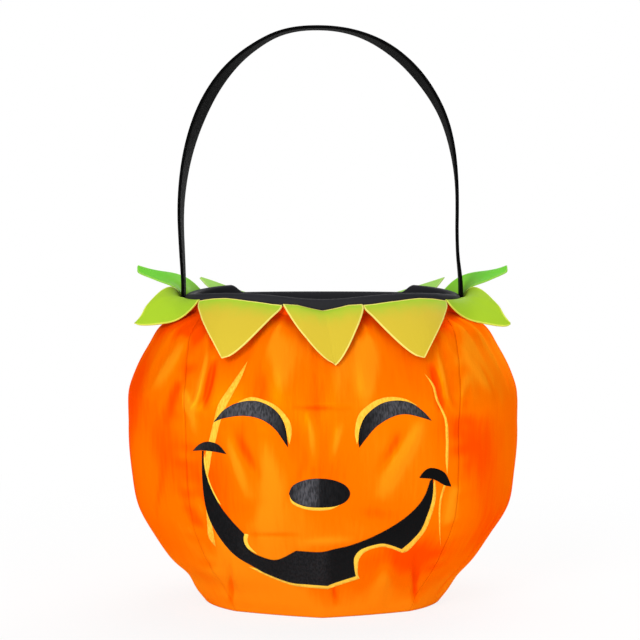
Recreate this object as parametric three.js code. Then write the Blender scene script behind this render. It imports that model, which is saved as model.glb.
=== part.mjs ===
// A sewn pumpkin candy bag: four orange satin panels on an oval base, a black lining, a stiff
// base board, a boned and bound rim, ten double-layer leaves and a webbing carrying strap.
// Millimetres, +Z up, the face side towards -Y, origin in the middle of the base underside.

import * as THREE from 'three';

// Outer wall: its side profile runs from the base through the belly to the tuck under the rim
const WALL = {
  baseHalfWidth: 74,
  bellyHalfWidth: 120.3,
  bellyHeight: 113,
  tuckHeight: 181.4,
  lowerBend: [[97.5, 30], [123, 55]],
  upperBend: [[121, 141], [113, 163]],
  depthPerWidth: 0.8,
  thickness: 1.0,
  seamGap: 0.4,
};

// Squareness of the oval sections: 2 is an ellipse, more is fuller at the corners
const SQUARENESS = { base: 2.0, belly: 2.2, rim: 2.5 };

// Where the four upright seams run, as a share of the half width
const SEAM = { base: 0.73, belly: 0.665, rim: 0.84 };

// The front and the back each flatten into two faces that meet in a crease, most of all at the base
const CREASE = { base: 0.7, belly: 0.12 };

// Rim: the outer face of the binding. Its height swells towards four corners, and between two
// kinks at the back it is level
const RIM = {
  halfWidth: 85,
  halfDepth: 58,
  height: 192,
  swell: 1.6,
  backHeight: 188.6,
  kink: { from: 0.56, to: 0.68 },
};

// The layers held in the binding, as depths in from its outer face
const BINDING = { height: 10, width: 5.2, leg: 0.7, roundTop: 1.2, inside: 1.0 };
const STIFFENER = { depth: 2.3, thickness: 1.0, below: 1.3, height: 8.2 };
const LAYER_GAP = 0.3;
const WALL_DEPTH_AT_RIM = BINDING.leg + LAYER_GAP;
const WALL_TOP_BELOW_RIM = 1.4;
const TUCK_BELOW_RIM = 10.6;

// Lining: hangs just inside the wall, and stands off it at the rim to clear the stiffener
const LINING = { thickness: 0.6, depth: 1.6, depthAtRim: 2.6, bottom: 3.9, seamGap: 1.0 };

// Base: the satin panel lies on the ground, with the board and the lining base above it
const BASE_PANEL = { bottom: 0, thickness: 1.0, inset: 1.5 };
const BASE_BOARD = { bottom: 1.3, thickness: 2.2, inset: 2.0 };
const LINING_BASE = { bottom: 3.9, thickness: 0.6, inset: 3.4 };

// Leaves: ten round the rim, each sewn on along its whole root
const LEAF = {
  count: 10,
  thickness: 0.9,
  tipHalfWidth: 0.4,
  taper: 1.5,
  standOff: 0.4,
  sideGap: 0.4,
};

// Strap: flat webbing that stands up from both ends of the rim in one arch
const STRAP = {
  width: 18,
  thickness: 1.8,
  rimClearance: 0.3,
  halfWidth: 86.4,
  springHeight: 236,
  rise: 118,
  squareness: 2.2,
  sway: -1.6,
  edgeRound: 0.5,
};

// How far the strap turns towards the face side, in degrees, and the heights where it does
const TWIST = {
  left: { degrees: -18, from: 215, full: 305 },
  right: { degrees: -12.5, from: 262, full: 322 },
};
const STRAP_END = { bottom: 181, top: 191 };
const FOLD_CLEARANCE = 0.4;
const FOLD_HEIGHT = STRAP_END.top + FOLD_CLEARANCE + STRAP.width / 2;

// How each leaf lies: its middle line from the root, as out and up, and its lean along the rim
const LEAF_LIES = {
  hanging: { root: -6, bend: [[0.5, -6], [16, -12], [28.5, -29.5]] },
  arching: { root: -8, bend: [[3, 9], [25, 14], [35, -11]] },
  rising: { root: -8, bend: [[5, 7], [22, 3], [41, 22]] },
  lifting: { root: -8, bend: [[4, 9], [18, 5], [34, 11]] },
};
const LEAVES = [
  { name: 'leaf_front_centre', place: 0, lies: 'hanging', lean: 6 },
  { name: 'leaf_front_right', place: 1, lies: 'hanging', lean: 3 },
  { name: 'leaf_side_right', place: 2, lies: 'arching', lean: 0 },
  { name: 'leaf_back_side_right', place: 3, lies: 'rising', lean: 2 },
  { name: 'leaf_back_right', place: 4, lies: 'lifting', lean: -21 },
  { name: 'leaf_back_centre', place: 5, lies: 'hanging', lean: 0 },
  { name: 'leaf_back_left', place: 6, lies: 'lifting', lean: 21 },
  { name: 'leaf_back_side_left', place: 7, lies: 'rising', lean: -2 },
  { name: 'leaf_side_left', place: 8, lies: 'arching', lean: 0 },
  { name: 'leaf_front_left', place: 9, lies: 'hanging', lean: -3 },
];

// Facets
const FACETS = {
  faceColumns: 14,
  sideColumns: 8,
  lowerRows: 7,
  upperRows: 7,
  leafColumns: 6,
  leafRows: 8,
  archSteps: 31,
  legSteps: 3,
  foldSteps: 6,
};

const FINISHES = {
  satin: new THREE.MeshStandardMaterial({ color: 0xff7a08, roughness: 0.45, metalness: 0 }),
  leaf: new THREE.MeshStandardMaterial({ color: 0xa8d030, roughness: 0.7, metalness: 0 }),
  lining: new THREE.MeshStandardMaterial({ color: 0x121212, roughness: 0.8, metalness: 0 }),
  binding: new THREE.MeshStandardMaterial({ color: 0x1e1e1e, roughness: 0.7, metalness: 0 }),
  strap: new THREE.MeshStandardMaterial({ color: 0x161616, roughness: 0.75, metalness: 0 }),
  board: new THREE.MeshStandardMaterial({ color: 0x8a7358, roughness: 0.9, metalness: 0 }),
  boning: new THREE.MeshStandardMaterial({ color: 0xd8d8d4, roughness: 0.5, metalness: 0 }),
};

const { lerp, smoothstep } = THREE.MathUtils;

// Point of an oval at a polar angle, counted from +X towards +Y
function ovalPoint({ halfWidth, halfDepth, squareness }, angle) {
  const across = Math.abs(Math.cos(angle) / halfWidth) ** squareness;
  const along = Math.abs(Math.sin(angle) / halfDepth) ** squareness;
  const radius = (across + along) ** (-1 / squareness);
  return new THREE.Vector2(Math.cos(angle), Math.sin(angle)).multiplyScalar(radius);
}

// Polar angle at which an oval has a given share of its half width, in the first quadrant
function ovalAngle({ halfWidth, halfDepth, squareness }, share) {
  const depth = halfDepth * (1 - share ** squareness) ** (1 / squareness);
  return Math.atan2(depth, halfWidth * share);
}

const RIM_OVAL = { halfWidth: RIM.halfWidth, halfDepth: RIM.halfDepth, squareness: SQUARENESS.rim };
const ANGLE_STEP = 1e-3;

// Top of the binding at a polar angle
function rimHeight(angle) {
  const swelling = RIM.height - RIM.swell * Math.cos(4 * angle);
  return lerp(swelling, RIM.backHeight, smoothstep(Math.sin(angle), RIM.kink.from, RIM.kink.to));
}

function rimNormal(angle) {
  const before = ovalPoint(RIM_OVAL, angle - ANGLE_STEP);
  const after = ovalPoint(RIM_OVAL, angle + ANGLE_STEP);
  const along = after.sub(before).normalize();
  return new THREE.Vector2(along.y, -along.x);
}

// Point on the rim, moved out from the binding's outer face and up from its top
function rimPoint(angle, out, up) {
  const plan = ovalPoint(RIM_OVAL, angle).addScaledVector(rimNormal(angle), out);
  return new THREE.Vector3(plan.x, plan.y, rimHeight(angle) + up);
}

// Polar angles at equal steps of length round the rim, from the middle of the front
function rimLengthTable(steps) {
  const start = -Math.PI / 2;
  const table = [{ angle: start, length: 0 }];
  let last = ovalPoint(RIM_OVAL, start);
  for (let step = 1; step <= steps; step += 1) {
    const angle = start + (2 * Math.PI * step) / steps;
    const point = ovalPoint(RIM_OVAL, angle);
    table.push({ angle, length: table[step - 1].length + point.distanceTo(last) });
    last = point;
  }
  return table;
}

const RIM_TABLE = rimLengthTable(1440);
const RIM_LENGTH = RIM_TABLE[RIM_TABLE.length - 1].length;

function rimAngleAt(length) {
  const wrapped = ((length % RIM_LENGTH) + RIM_LENGTH) % RIM_LENGTH;
  const next = RIM_TABLE.findIndex((row) => row.length > wrapped);
  const [low, high] = [RIM_TABLE[next - 1], RIM_TABLE[next]];
  const share = (wrapped - low.length) / (high.length - low.length);
  return lerp(low.angle, high.angle, share);
}

const vector2 = ([x, y]) => new THREE.Vector2(x, y);
const belly = new THREE.Vector2(WALL.bellyHalfWidth, WALL.bellyHeight);
const tuckHalfWidth = RIM.halfWidth - WALL_DEPTH_AT_RIM;
const tuckHalfDepth = RIM.halfDepth - WALL_DEPTH_AT_RIM;
const LOWER_PROFILE = new THREE.CubicBezierCurve(
  new THREE.Vector2(WALL.baseHalfWidth, 0), ...WALL.lowerBend.map(vector2), belly);
const UPPER_PROFILE = new THREE.CubicBezierCurve(
  belly, ...WALL.upperBend.map(vector2), new THREE.Vector2(tuckHalfWidth, WALL.tuckHeight));

// The wall's level counts 0 at the base, 1 at the belly, 2 at the tuck and 3 at its top edge
function wallSection(level) {
  const lower = level < 1;
  const rise = THREE.MathUtils.clamp(level - 1, 0, 1);
  const profile = lower ? LOWER_PROFILE.getPoint(level) : UPPER_PROFILE.getPoint(rise);
  const ratio = lerp(WALL.depthPerWidth, tuckHalfDepth / tuckHalfWidth, smoothstep(rise, 0, 1));
  const squareness = lower
    ? lerp(SQUARENESS.base, SQUARENESS.belly, level)
    : lerp(SQUARENESS.belly, SQUARENESS.rim, rise);
  const seam = lower
    ? lerp(SEAM.base, SEAM.belly, smoothstep(level, -0.5, 1))
    : lerp(SEAM.belly, SEAM.rim, rise ** 2);
  const oval = { halfWidth: profile.x, halfDepth: profile.x * ratio, squareness };
  const crease = lower ? lerp(CREASE.base, CREASE.belly, level) : lerp(CREASE.belly, 0, rise);
  return { oval, height: profile.y, seamAngle: ovalAngle(oval, seam), crease };
}

// The oval, drawn in towards a straight line from the seam to the crease in the middle of a face
function creasedPoint({ oval, seamAngle, crease }, angle) {
  const plan = ovalPoint(oval, angle);
  const [across, along] = [Math.abs(Math.cos(angle)), Math.abs(Math.sin(angle))];
  if (along <= Math.sin(seamAngle)) return plan;
  const corner = ovalPoint(oval, seamAngle);
  const lineRadius = (corner.x * oval.halfDepth)
    / (across * (oval.halfDepth - corner.y) + along * corner.x);
  return plan.setLength(lerp(plan.length(), lineRadius, crease));
}

// Point on the outer face of the wall below the tuck
function wallPoint(angle, level) {
  const section = wallSection(level);
  const plan = creasedPoint(section, angle);
  const stretch = (rimHeight(angle) - TUCK_BELOW_RIM) / WALL.tuckHeight;
  return new THREE.Vector3(plan.x, plan.y, section.height * stretch);
}

// Point at a depth in from the outer face of the wall: upright in the binding, or square to the wall
function wallInside(angle, level, depth) {
  if (level >= 2) {
    const up = lerp(-TUCK_BELOW_RIM, -WALL_TOP_BELOW_RIM, level - 2);
    return rimPoint(angle, -WALL_DEPTH_AT_RIM - depth, up);
  }
  const across = wallPoint(angle + ANGLE_STEP, level).sub(wallPoint(angle - ANGLE_STEP, level));
  const low = wallPoint(angle, Math.max(level - ANGLE_STEP, 0));
  const outward = across.cross(wallPoint(angle, level + ANGLE_STEP).sub(low)).normalize();
  return wallPoint(angle, level).addScaledVector(outward, -depth);
}

// The four panels, each from one upright seam to the next, as angles at a level
const { PI } = Math;
const PANELS = [
  { side: 'front', columns: FACETS.faceColumns, from: (seam) => seam - PI, to: (seam) => -seam },
  { side: 'right_side', columns: FACETS.sideColumns, from: (seam) => -seam, to: (seam) => seam },
  { side: 'back', columns: FACETS.faceColumns, from: (seam) => seam, to: (seam) => PI - seam },
  { side: 'left_side', columns: FACETS.sideColumns, from: (seam) => PI - seam, to: (seam) => PI + seam },
];

function panelAngle(panel, column, level, gap) {
  const { oval, seamAngle } = wallSection(level);
  const inset = gap / 2 / ovalPoint(oval, seamAngle).length();
  return lerp(panel.from(seamAngle) + inset, panel.to(seamAngle) - inset, column / panel.columns);
}

// Angles round the rim and the base at which the panels' columns stand
function stationAngles(level) {
  return PANELS.flatMap((panel) => Array.from(
    { length: panel.columns }, (_, column) => panelAngle(panel, column, level, 0)));
}

// Collects corners and faces of a closed body
class Body {
  constructor() {
    this.positions = [];
    this.faces = [];
  }

  addRow(points) {
    const first = this.positions.length / 3;
    points.forEach((point) => this.positions.push(point.x, point.y, point.z));
    return points.map((_, index) => first + index);
  }

  quad(a, b, c, d) {
    this.faces.push(a, b, c, a, c, d);
  }

  geometry() {
    const geometry = new THREE.BufferGeometry();
    geometry.setAttribute('position', new THREE.Float32BufferAttribute(this.positions, 3));
    geometry.setIndex(this.faces);
    geometry.computeVertexNormals();
    return geometry;
  }
}

// Closed sheet between an outer and an inner grid of points, both given row by row from below
function sheetSolid(outerRows, innerRows) {
  const body = new Body();
  const outer = outerRows.map((row) => body.addRow(row));
  const inner = innerRows.map((row) => body.addRow(row));
  const lastRow = outer.length - 1;
  const lastColumn = outer[0].length - 1;
  for (let row = 0; row < lastRow; row += 1) {
    for (let column = 0; column < lastColumn; column += 1) {
      const next = column + 1;
      body.quad(outer[row][column], outer[row][next], outer[row + 1][next], outer[row + 1][column]);
      body.quad(inner[row][column], inner[row + 1][column], inner[row + 1][next], inner[row][next]);
    }
    const [outerEnd, outerNext] = [outer[row][lastColumn], outer[row + 1][lastColumn]];
    body.quad(outerNext, outerEnd, inner[row][lastColumn], inner[row + 1][lastColumn]);
    body.quad(outer[row][0], outer[row + 1][0], inner[row + 1][0], inner[row][0]);
  }
  const [outerTop, innerTop] = [outer[lastRow], inner[lastRow]];
  for (let column = 0; column < lastColumn; column += 1) {
    const next = column + 1;
    body.quad(outer[0][next], outer[0][column], inner[0][column], inner[0][next]);
    body.quad(outerTop[column], outerTop[next], innerTop[next], innerTop[column]);
  }
  return body.geometry();
}

// Closed ring: one outline repeated round the rim
function ringSolid(outlineAt, angles) {
  const body = new Body();
  const rings = angles.map((angle) => body.addRow(outlineAt(angle)));
  rings.forEach((ring, index) => {
    const next = rings[(index + 1) % rings.length];
    ring.forEach((corner, place) => {
      const after = (place + 1) % ring.length;
      body.quad(corner, next[place], next[after], ring[after]);
    });
  });
  return body.geometry();
}

// Closed band: one outline repeated along an open path, with flat ends
function bandSolid(outlines) {
  const body = new Body();
  const rings = outlines.map((outline) => body.addRow(outline));
  rings.slice(0, -1).forEach((ring, index) => {
    const next = rings[index + 1];
    ring.forEach((corner, place) => {
      const after = (place + 1) % ring.length;
      body.quad(corner, ring[after], next[after], next[place]);
    });
  });
  const first = rings[0];
  const last = rings[rings.length - 1];
  for (let place = 1; place < first.length - 1; place += 1) {
    body.faces.push(first[0], first[place + 1], first[place]);
    body.faces.push(last[0], last[place], last[place + 1]);
  }
  return body.geometry();
}

// One panel of the wall or of the lining, between two depths in from the wall's outer face
function panelSolid(panel, levels, depthAt, { thickness, seamGap }) {
  const columns = Array.from({ length: panel.columns + 1 }, (_, column) => column);
  const rowsAt = (extra) => levels.map((level) => columns.map((column) => {
    const angle = panelAngle(panel, column, level, seamGap);
    return wallInside(angle, level, depthAt(level) + extra);
  }));
  return sheetSolid(rowsAt(0), rowsAt(thickness));
}

function wallLevels() {
  const lower = Array.from({ length: FACETS.lowerRows }, (_, row) => row / FACETS.lowerRows);
  const upper = Array.from({ length: FACETS.upperRows }, (_, row) => 1 + row / FACETS.upperRows);
  return [...lower, ...upper, 2, 3];
}

// Level of a height close above the base, from the slope at which the profile starts
function levelNearBase(height) {
  return height / (3 * WALL.lowerBend[0][1]);
}

// Every other row of the wall, and all of them near the rim, so that the two never cross
function liningLevels() {
  const kept = wallLevels().filter((level, row) => row > 0 && (row % 2 === 0 || level > 1.7));
  return [levelNearBase(LINING.bottom), ...kept];
}

function liningDepth(level) {
  return lerp(LINING.depth, LINING.depthAtRim, smoothstep(level, 1.6, 2));
}

// Flat oval piece inside the foot of the wall
function floorSolid({ bottom, thickness, inset }) {
  const level = levelNearBase(bottom);
  const outline = stationAngles(level).map((angle) => {
    const point = wallInside(angle, level, inset);
    return new THREE.Vector2(point.x, point.y);
  });
  const geometry = new THREE.ExtrudeGeometry(
    new THREE.Shape(outline), { depth: thickness, bevelEnabled: false });
  return geometry.translate(0, 0, bottom);
}

// Folded tape over the rim: an upside-down U, round on top
function bindingOutline(angle) {
  const { width, leg, height, roundTop, inside } = BINDING;
  const shoulder = roundTop * 0.35;
  const outline = [
    [0, -height], [0, -roundTop], [-shoulder, -shoulder], [-roundTop, 0],
    [roundTop - width, 0], [shoulder - width, -shoulder], [-width, -roundTop], [-width, -height],
    [leg - width, -height], [leg - width, -inside], [-leg, -inside], [-leg, -height],
  ];
  return outline.map(([out, up]) => rimPoint(angle, out, up));
}

function stiffenerOutline(angle) {
  const { depth, thickness, below, height } = STIFFENER;
  const outline = [
    [-depth, -below - height], [-depth, -below],
    [-depth - thickness, -below], [-depth - thickness, -below - height],
  ];
  return outline.map(([out, up]) => rimPoint(angle, out, up));
}

// How far a leaf's root stands out from the binding, passing over the strap end at each side
function leafStandOff(length) {
  const side = RIM_LENGTH / 2;
  const fromStrap = (length + 1.5 * side) % side;
  const distance = Math.min(fromStrap, side - fromStrap);
  const over = 1 - smoothstep(distance, STRAP.width / 2 + 3, STRAP.width / 2 + 9);
  return LEAF.standOff + over * (STRAP.rimClearance + STRAP.thickness + LEAF.standOff);
}

// One leaf: its root follows the rim, and its blade runs out along its middle line
function leafPoint({ place, lies, lean }, across, along) {
  const { root, bend } = LEAF_LIES[lies];
  const pitch = RIM_LENGTH / LEAF.count;
  const middle = rimAngleAt(place * pitch);
  const halfRoot = (pitch - LEAF.sideGap) / 2;
  const halfWidth = (halfRoot - LEAF.tipHalfWidth) * (1 - along ** LEAF.taper) + LEAF.tipHalfWidth;
  const length = place * pitch + across * halfWidth;
  const angle = rimAngleAt(length);
  const line = new THREE.CubicBezierCurve(new THREE.Vector2(), ...bend.map(vector2)).getPoint(along);
  const rootPoint = rimPoint(angle, leafStandOff(length), root);
  const straighten = smoothstep(along, 0, 0.5);
  const outward = rimNormal(angle).lerp(rimNormal(middle), straighten).normalize();
  const sideways = new THREE.Vector2(-outward.y, outward.x);
  const plan = outward.multiplyScalar(line.x).addScaledVector(sideways, lean * along ** 1.3);
  return rootPoint.add(new THREE.Vector3(plan.x, plan.y, line.y));
}

function leafSolid(leaf) {
  const nudge = 0.02;
  const facing = (across, along) => {
    const [left, right] = [-nudge, nudge].map((step) => leafPoint(leaf, across + step, along));
    const nearEnd = Math.max(along - nudge, 0);
    const farEnd = Math.min(along + nudge, 1);
    const run = leafPoint(leaf, across, farEnd).sub(leafPoint(leaf, across, nearEnd));
    return right.sub(left).cross(run).normalize();
  };
  const rowsAt = (lift) => Array.from({ length: FACETS.leafRows + 1 }, (_, row) => {
    const along = row / FACETS.leafRows;
    return Array.from({ length: FACETS.leafColumns + 1 }, (__, column) => {
      const across = (2 * column) / FACETS.leafColumns - 1;
      return leafPoint(leaf, across, along).addScaledVector(facing(across, along), lift);
    });
  });
  const startsUpward = LEAF_LIES[leaf.lies].bend[0][1] > 0;
  return startsUpward
    ? sheetSolid(rowsAt(LEAF.thickness), rowsAt(0))
    : sheetSolid(rowsAt(0), rowsAt(-LEAF.thickness));
}

// Webbing section at a place on the strap: flat, with the edges eased
function strapOutline(middle, along, twist, halfWidth) {
  const { thickness, edgeRound } = STRAP;
  const half = thickness / 2;
  const wide = new THREE.Vector3(0, 1, 0).applyAxisAngle(along, twist);
  const thin = new THREE.Vector3().crossVectors(along, wide).normalize();
  const eased = Math.min(edgeRound, halfWidth / 2);
  const outline = [
    [halfWidth, half - eased], [halfWidth - eased, half], [eased - halfWidth, half],
    [-halfWidth, half - eased], [-halfWidth, eased - half], [eased - halfWidth, -half],
    [halfWidth - eased, -half], [halfWidth, eased - half],
  ];
  return outline.map(([across, through]) => middle.clone()
    .addScaledVector(wide, across)
    .addScaledVector(thin, through));
}

// Middle line of the strap from the left fold over the top to the right fold
function strapPath() {
  const legX = RIM.halfWidth + STRAP.rimClearance + STRAP.thickness / 2;
  const radius = STRAP.width / 2;
  const left = [];
  for (let step = 1; step <= FACETS.foldSteps; step += 1) {
    const turn = (Math.PI / 2) * (step / FACETS.foldSteps);
    const z = FOLD_HEIGHT - radius * Math.cos(turn);
    left.push({ x: -legX, z, halfWidth: radius * Math.sin(turn) });
  }
  for (let step = 1; step <= FACETS.legSteps; step += 1) {
    const share = step / (FACETS.legSteps + 1);
    const z = lerp(FOLD_HEIGHT, STRAP.springHeight, share);
    left.push({ x: lerp(-legX, -STRAP.halfWidth, share), z, halfWidth: radius });
  }
  const right = left.map((point) => ({ ...point, x: -point.x })).reverse();
  const arch = Array.from({ length: FACETS.archSteps + 1 }, (_, step) => {
    const turn = Math.PI * (1 - step / FACETS.archSteps);
    const power = 2 / STRAP.squareness;
    const x = STRAP.halfWidth * Math.sign(Math.cos(turn)) * Math.abs(Math.cos(turn)) ** power;
    const z = STRAP.springHeight + STRAP.rise * Math.sin(turn) ** power;
    return { x, z, halfWidth: radius };
  });
  const sway = (z) => STRAP.sway * smoothstep(z, FOLD_HEIGHT, STRAP.springHeight);
  return [...left, ...arch, ...right].map((point) => ({ ...point, x: point.x + sway(point.z) }));
}

// The webbing turns on itself up both legs, most at the shoulders, and lies level at the top
function strapTwist(x, z) {
  const { degrees, from, full } = x < 0 ? TWIST.left : TWIST.right;
  const apex = STRAP.springHeight + STRAP.rise;
  const share = smoothstep(z, from, full) * (1 - smoothstep(z, full, apex));
  return THREE.MathUtils.degToRad(degrees * share);
}

function strapSolid() {
  const path = strapPath();
  const outlines = path.map(({ x, z, halfWidth }, index) => {
    const before = path[Math.max(index - 1, 0)];
    const after = path[Math.min(index + 1, path.length - 1)];
    const along = new THREE.Vector3(after.x - before.x, 0, after.z - before.z).normalize();
    return strapOutline(new THREE.Vector3(x, 0, z), along, strapTwist(x, z), halfWidth);
  });
  return bandSolid(outlines);
}

// The sewn-down end of the strap, flat on the outside of the binding
function strapEndSolid() {
  const { bottom, top } = STRAP_END;
  return new THREE.BoxGeometry(STRAP.thickness, STRAP.width, top - bottom);
}

function piece(name, geometry, finish) {
  const mesh = new THREE.Mesh(geometry, FINISHES[finish]);
  mesh.name = name;
  return mesh;
}

function outerWall() {
  const group = new THREE.Group();
  const levels = wallLevels();
  PANELS.forEach((panel) => {
    const geometry = panelSolid(panel, levels, () => 0, WALL);
    group.add(piece(`${panel.side}_panel`, geometry, 'satin'));
  });
  group.add(piece('base_panel', floorSolid(BASE_PANEL), 'satin'));
  return group;
}

function lining() {
  const group = new THREE.Group();
  const levels = liningLevels();
  PANELS.forEach((panel) => {
    const geometry = panelSolid(panel, levels, liningDepth, LINING);
    group.add(piece(`lining_${panel.side}`, geometry, 'lining'));
  });
  group.add(piece('lining_base', floorSolid(LINING_BASE), 'lining'));
  return group;
}

function rim() {
  const group = new THREE.Group();
  const angles = stationAngles(2);
  group.add(piece('rim_binding', ringSolid(bindingOutline, angles), 'binding'));
  group.add(piece('rim_stiffener', ringSolid(stiffenerOutline, angles), 'boning'));
  return group;
}

function strap() {
  const group = new THREE.Group();
  group.add(piece('handle_strap', strapSolid(), 'strap'));
  const endX = RIM.halfWidth + STRAP.rimClearance + STRAP.thickness / 2;
  [['strap_end_left', -endX], ['strap_end_right', endX]].forEach(([name, x]) => {
    const end = piece(name, strapEndSolid(), 'strap');
    end.position.set(x, 0, (STRAP_END.bottom + STRAP_END.top) / 2);
    group.add(end);
  });
  return group;
}

function leaves() {
  const group = new THREE.Group();
  LEAVES.forEach((leaf) => group.add(piece(leaf.name, leafSolid(leaf), 'leaf')));
  return group;
}

const bag = new THREE.Group();
bag.name = 'pumpkin_candy_bag';
bag.add(outerWall(), lining(), piece('base_board', floorSolid(BASE_BOARD), 'board'));
bag.add(rim(), strap(), leaves());

export default bag;
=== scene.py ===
"""A sewn pumpkin candy bag: the looks of its cloth, print, leaves, bound rim and strap.

Lengths are in metres with +Z up. The face side looks towards -Y, and the origin is in the middle
of the base underside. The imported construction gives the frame, and every soft piece made here
takes the place of its plain solid.
"""

import logging
import math
from dataclasses import dataclass, field
from enum import Enum
from typing import Callable, Sequence

import bmesh
import bpy
import numpy as np
from mathutils import Matrix, Vector, geometry
from mathutils.bvhtree import BVHTree


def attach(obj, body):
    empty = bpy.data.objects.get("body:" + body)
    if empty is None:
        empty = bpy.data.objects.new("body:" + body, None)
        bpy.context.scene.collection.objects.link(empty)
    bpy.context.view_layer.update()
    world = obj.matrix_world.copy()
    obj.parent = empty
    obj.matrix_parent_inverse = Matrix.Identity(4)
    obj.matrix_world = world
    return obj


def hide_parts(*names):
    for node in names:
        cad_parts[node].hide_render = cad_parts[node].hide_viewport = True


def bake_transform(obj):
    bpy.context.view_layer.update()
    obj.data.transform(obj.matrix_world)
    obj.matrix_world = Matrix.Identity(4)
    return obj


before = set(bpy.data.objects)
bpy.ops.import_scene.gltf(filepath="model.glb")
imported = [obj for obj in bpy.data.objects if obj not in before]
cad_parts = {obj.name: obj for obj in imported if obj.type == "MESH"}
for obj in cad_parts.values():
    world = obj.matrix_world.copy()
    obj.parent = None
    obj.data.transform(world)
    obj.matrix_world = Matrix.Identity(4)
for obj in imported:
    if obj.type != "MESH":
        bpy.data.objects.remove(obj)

LOG = logging.getLogger("pumpkin_bag")
MM = 0.001
BAG = "bag"
TOUCHING = 1e-6

Array = np.ndarray
Pair = tuple[float, float]
Place = Callable[[Array, Array], Array]
Socket = bpy.types.NodeSocket


def lerp(low: Array | float, high: Array | float, share: Array | float) -> Array | float:
    """Returns the value at a share of the way from low to high."""
    return low + (high - low) * share


def smoothstep(value: Array, low: float, high: float) -> Array:
    """Returns 0 below low, 1 above high and a smooth rise between them."""
    share = np.clip((value - low) / (high - low), 0.0, 1.0)
    return share * share * (3.0 - 2.0 * share)


def bump(distance: Array, width: Array | float) -> Array:
    """Returns 1 at no distance, falling softly towards 0 past a width."""
    return np.exp(-((distance / width) ** 2))


def bezier(points: Sequence[Pair], share: Array) -> tuple[Array, Array]:
    """Points of a cubic curve.

    Args:
        points: The four control points.
        share: How far along the curve, from 0 to 1.

    Returns:
        The two coordinates.
    """
    rest = 1.0 - share
    weights = (rest**3, 3 * rest**2 * share, 3 * rest * share**2, share**3)
    return tuple(sum(w * p[axis] for w, p in zip(weights, points)) for axis in (0, 1))


def unit(vectors: Array) -> Array:
    """Returns the rows of vectors at length 1."""
    return vectors / np.maximum(np.linalg.norm(vectors, axis=1, keepdims=True), 1e-12)


def oval_radius(half_width: Array, half_depth: Array, squareness: Array, angle: Array) -> Array:
    """Radius of a squared oval at a polar angle.

    Args:
        half_width: Half the size along X.
        half_depth: Half the size along Y.
        squareness: 2 for an ellipse, more for fuller corners.
        angle: Polar angle, from +X towards +Y.

    Returns:
        The distance from the middle.
    """
    across = np.abs(np.cos(angle) / half_width) ** squareness
    along = np.abs(np.sin(angle) / half_depth) ** squareness
    return (across + along) ** (-1.0 / squareness)


@dataclass(frozen=True)
class Rim:
    """The oval mouth of the bag, measured at the outer face of its binding."""

    half_width: float = 85 * MM
    half_depth: float = 58 * MM
    squareness: float = 2.5
    height: float = 192 * MM
    swell: float = 1.6 * MM
    back_height: float = 188.6 * MM
    kink_from: float = 0.61
    kink_to: float = 0.7
    steps: int = 1440

    def plan(self, angle: Array) -> Array:
        """Returns the outline's points in plan."""
        radius = oval_radius(self.half_width, self.half_depth, self.squareness, angle)
        return np.stack((radius * np.cos(angle), radius * np.sin(angle)), axis=1)

    def normal(self, angle: Array) -> Array:
        """The outline's outward directions in plan.

        Args:
            angle: Polar angles.

        Returns:
            One direction to a row, at length 1.
        """
        step = 1e-3
        along = unit(self.plan(angle + step) - self.plan(angle - step))
        return np.stack((along[:, 1], -along[:, 0]), axis=1)

    def top(self, angle: Array) -> Array:
        """The binding's top, which swells at four corners and is level at the back.

        Args:
            angle: Polar angles.

        Returns:
            Heights.
        """
        swelling = self.height - self.swell * np.cos(4 * angle)
        level = smoothstep(np.sin(angle), self.kink_from, self.kink_to)
        return lerp(swelling, self.back_height, level)

    def point(self, angle: Array, out: Array | float, up: Array | float) -> Array:
        """Points beside the rim.

        Args:
            angle: Polar angle.
            out: Distance out from the binding's outer face.
            up: Height above the binding's top.

        Returns:
            One point to a row.
        """
        plan = self.plan(angle) + self.normal(angle) * np.reshape(out, (-1, 1))
        return np.column_stack((plan, self.top(angle) + up))

    def table(self) -> tuple[Array, Array]:
        """Lengths round the rim from the middle of the front.

        Returns:
            Polar angles, and the length up to each.
        """
        angles = -math.pi / 2 + np.linspace(0, 2 * math.pi, self.steps + 1)
        steps = np.linalg.norm(np.diff(self.plan(angles), axis=0), axis=1)
        return angles, np.concatenate(([0.0], np.cumsum(steps)))

    def length(self) -> float:
        """Returns the length once round the rim."""
        return float(self.table()[1][-1])

    def angle_at(self, length: Array) -> Array:
        """Finds places round the rim.

        Args:
            length: Lengths round the rim from the middle of the front.

        Returns:
            Polar angles.
        """
        angles, lengths = self.table()
        turns = np.floor(length / lengths[-1])
        return np.interp(length - turns * lengths[-1], lengths, angles) + 2 * math.pi * turns

    def depth_at(self, length: Array, places: Sequence[float], depths: Sequence[float]) -> Array:
        """Reads depths that are given at some distances from the middle of the front.

        Args:
            length: Lengths round the rim from the middle of the front.
            places: The distances either way, in millimetres.
            depths: The depths there, in millimetres.

        Returns:
            Depths.
        """
        whole = self.length()
        along = length % whole
        return np.interp(np.minimum(along, whole - along) / MM, places, depths) * MM


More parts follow.
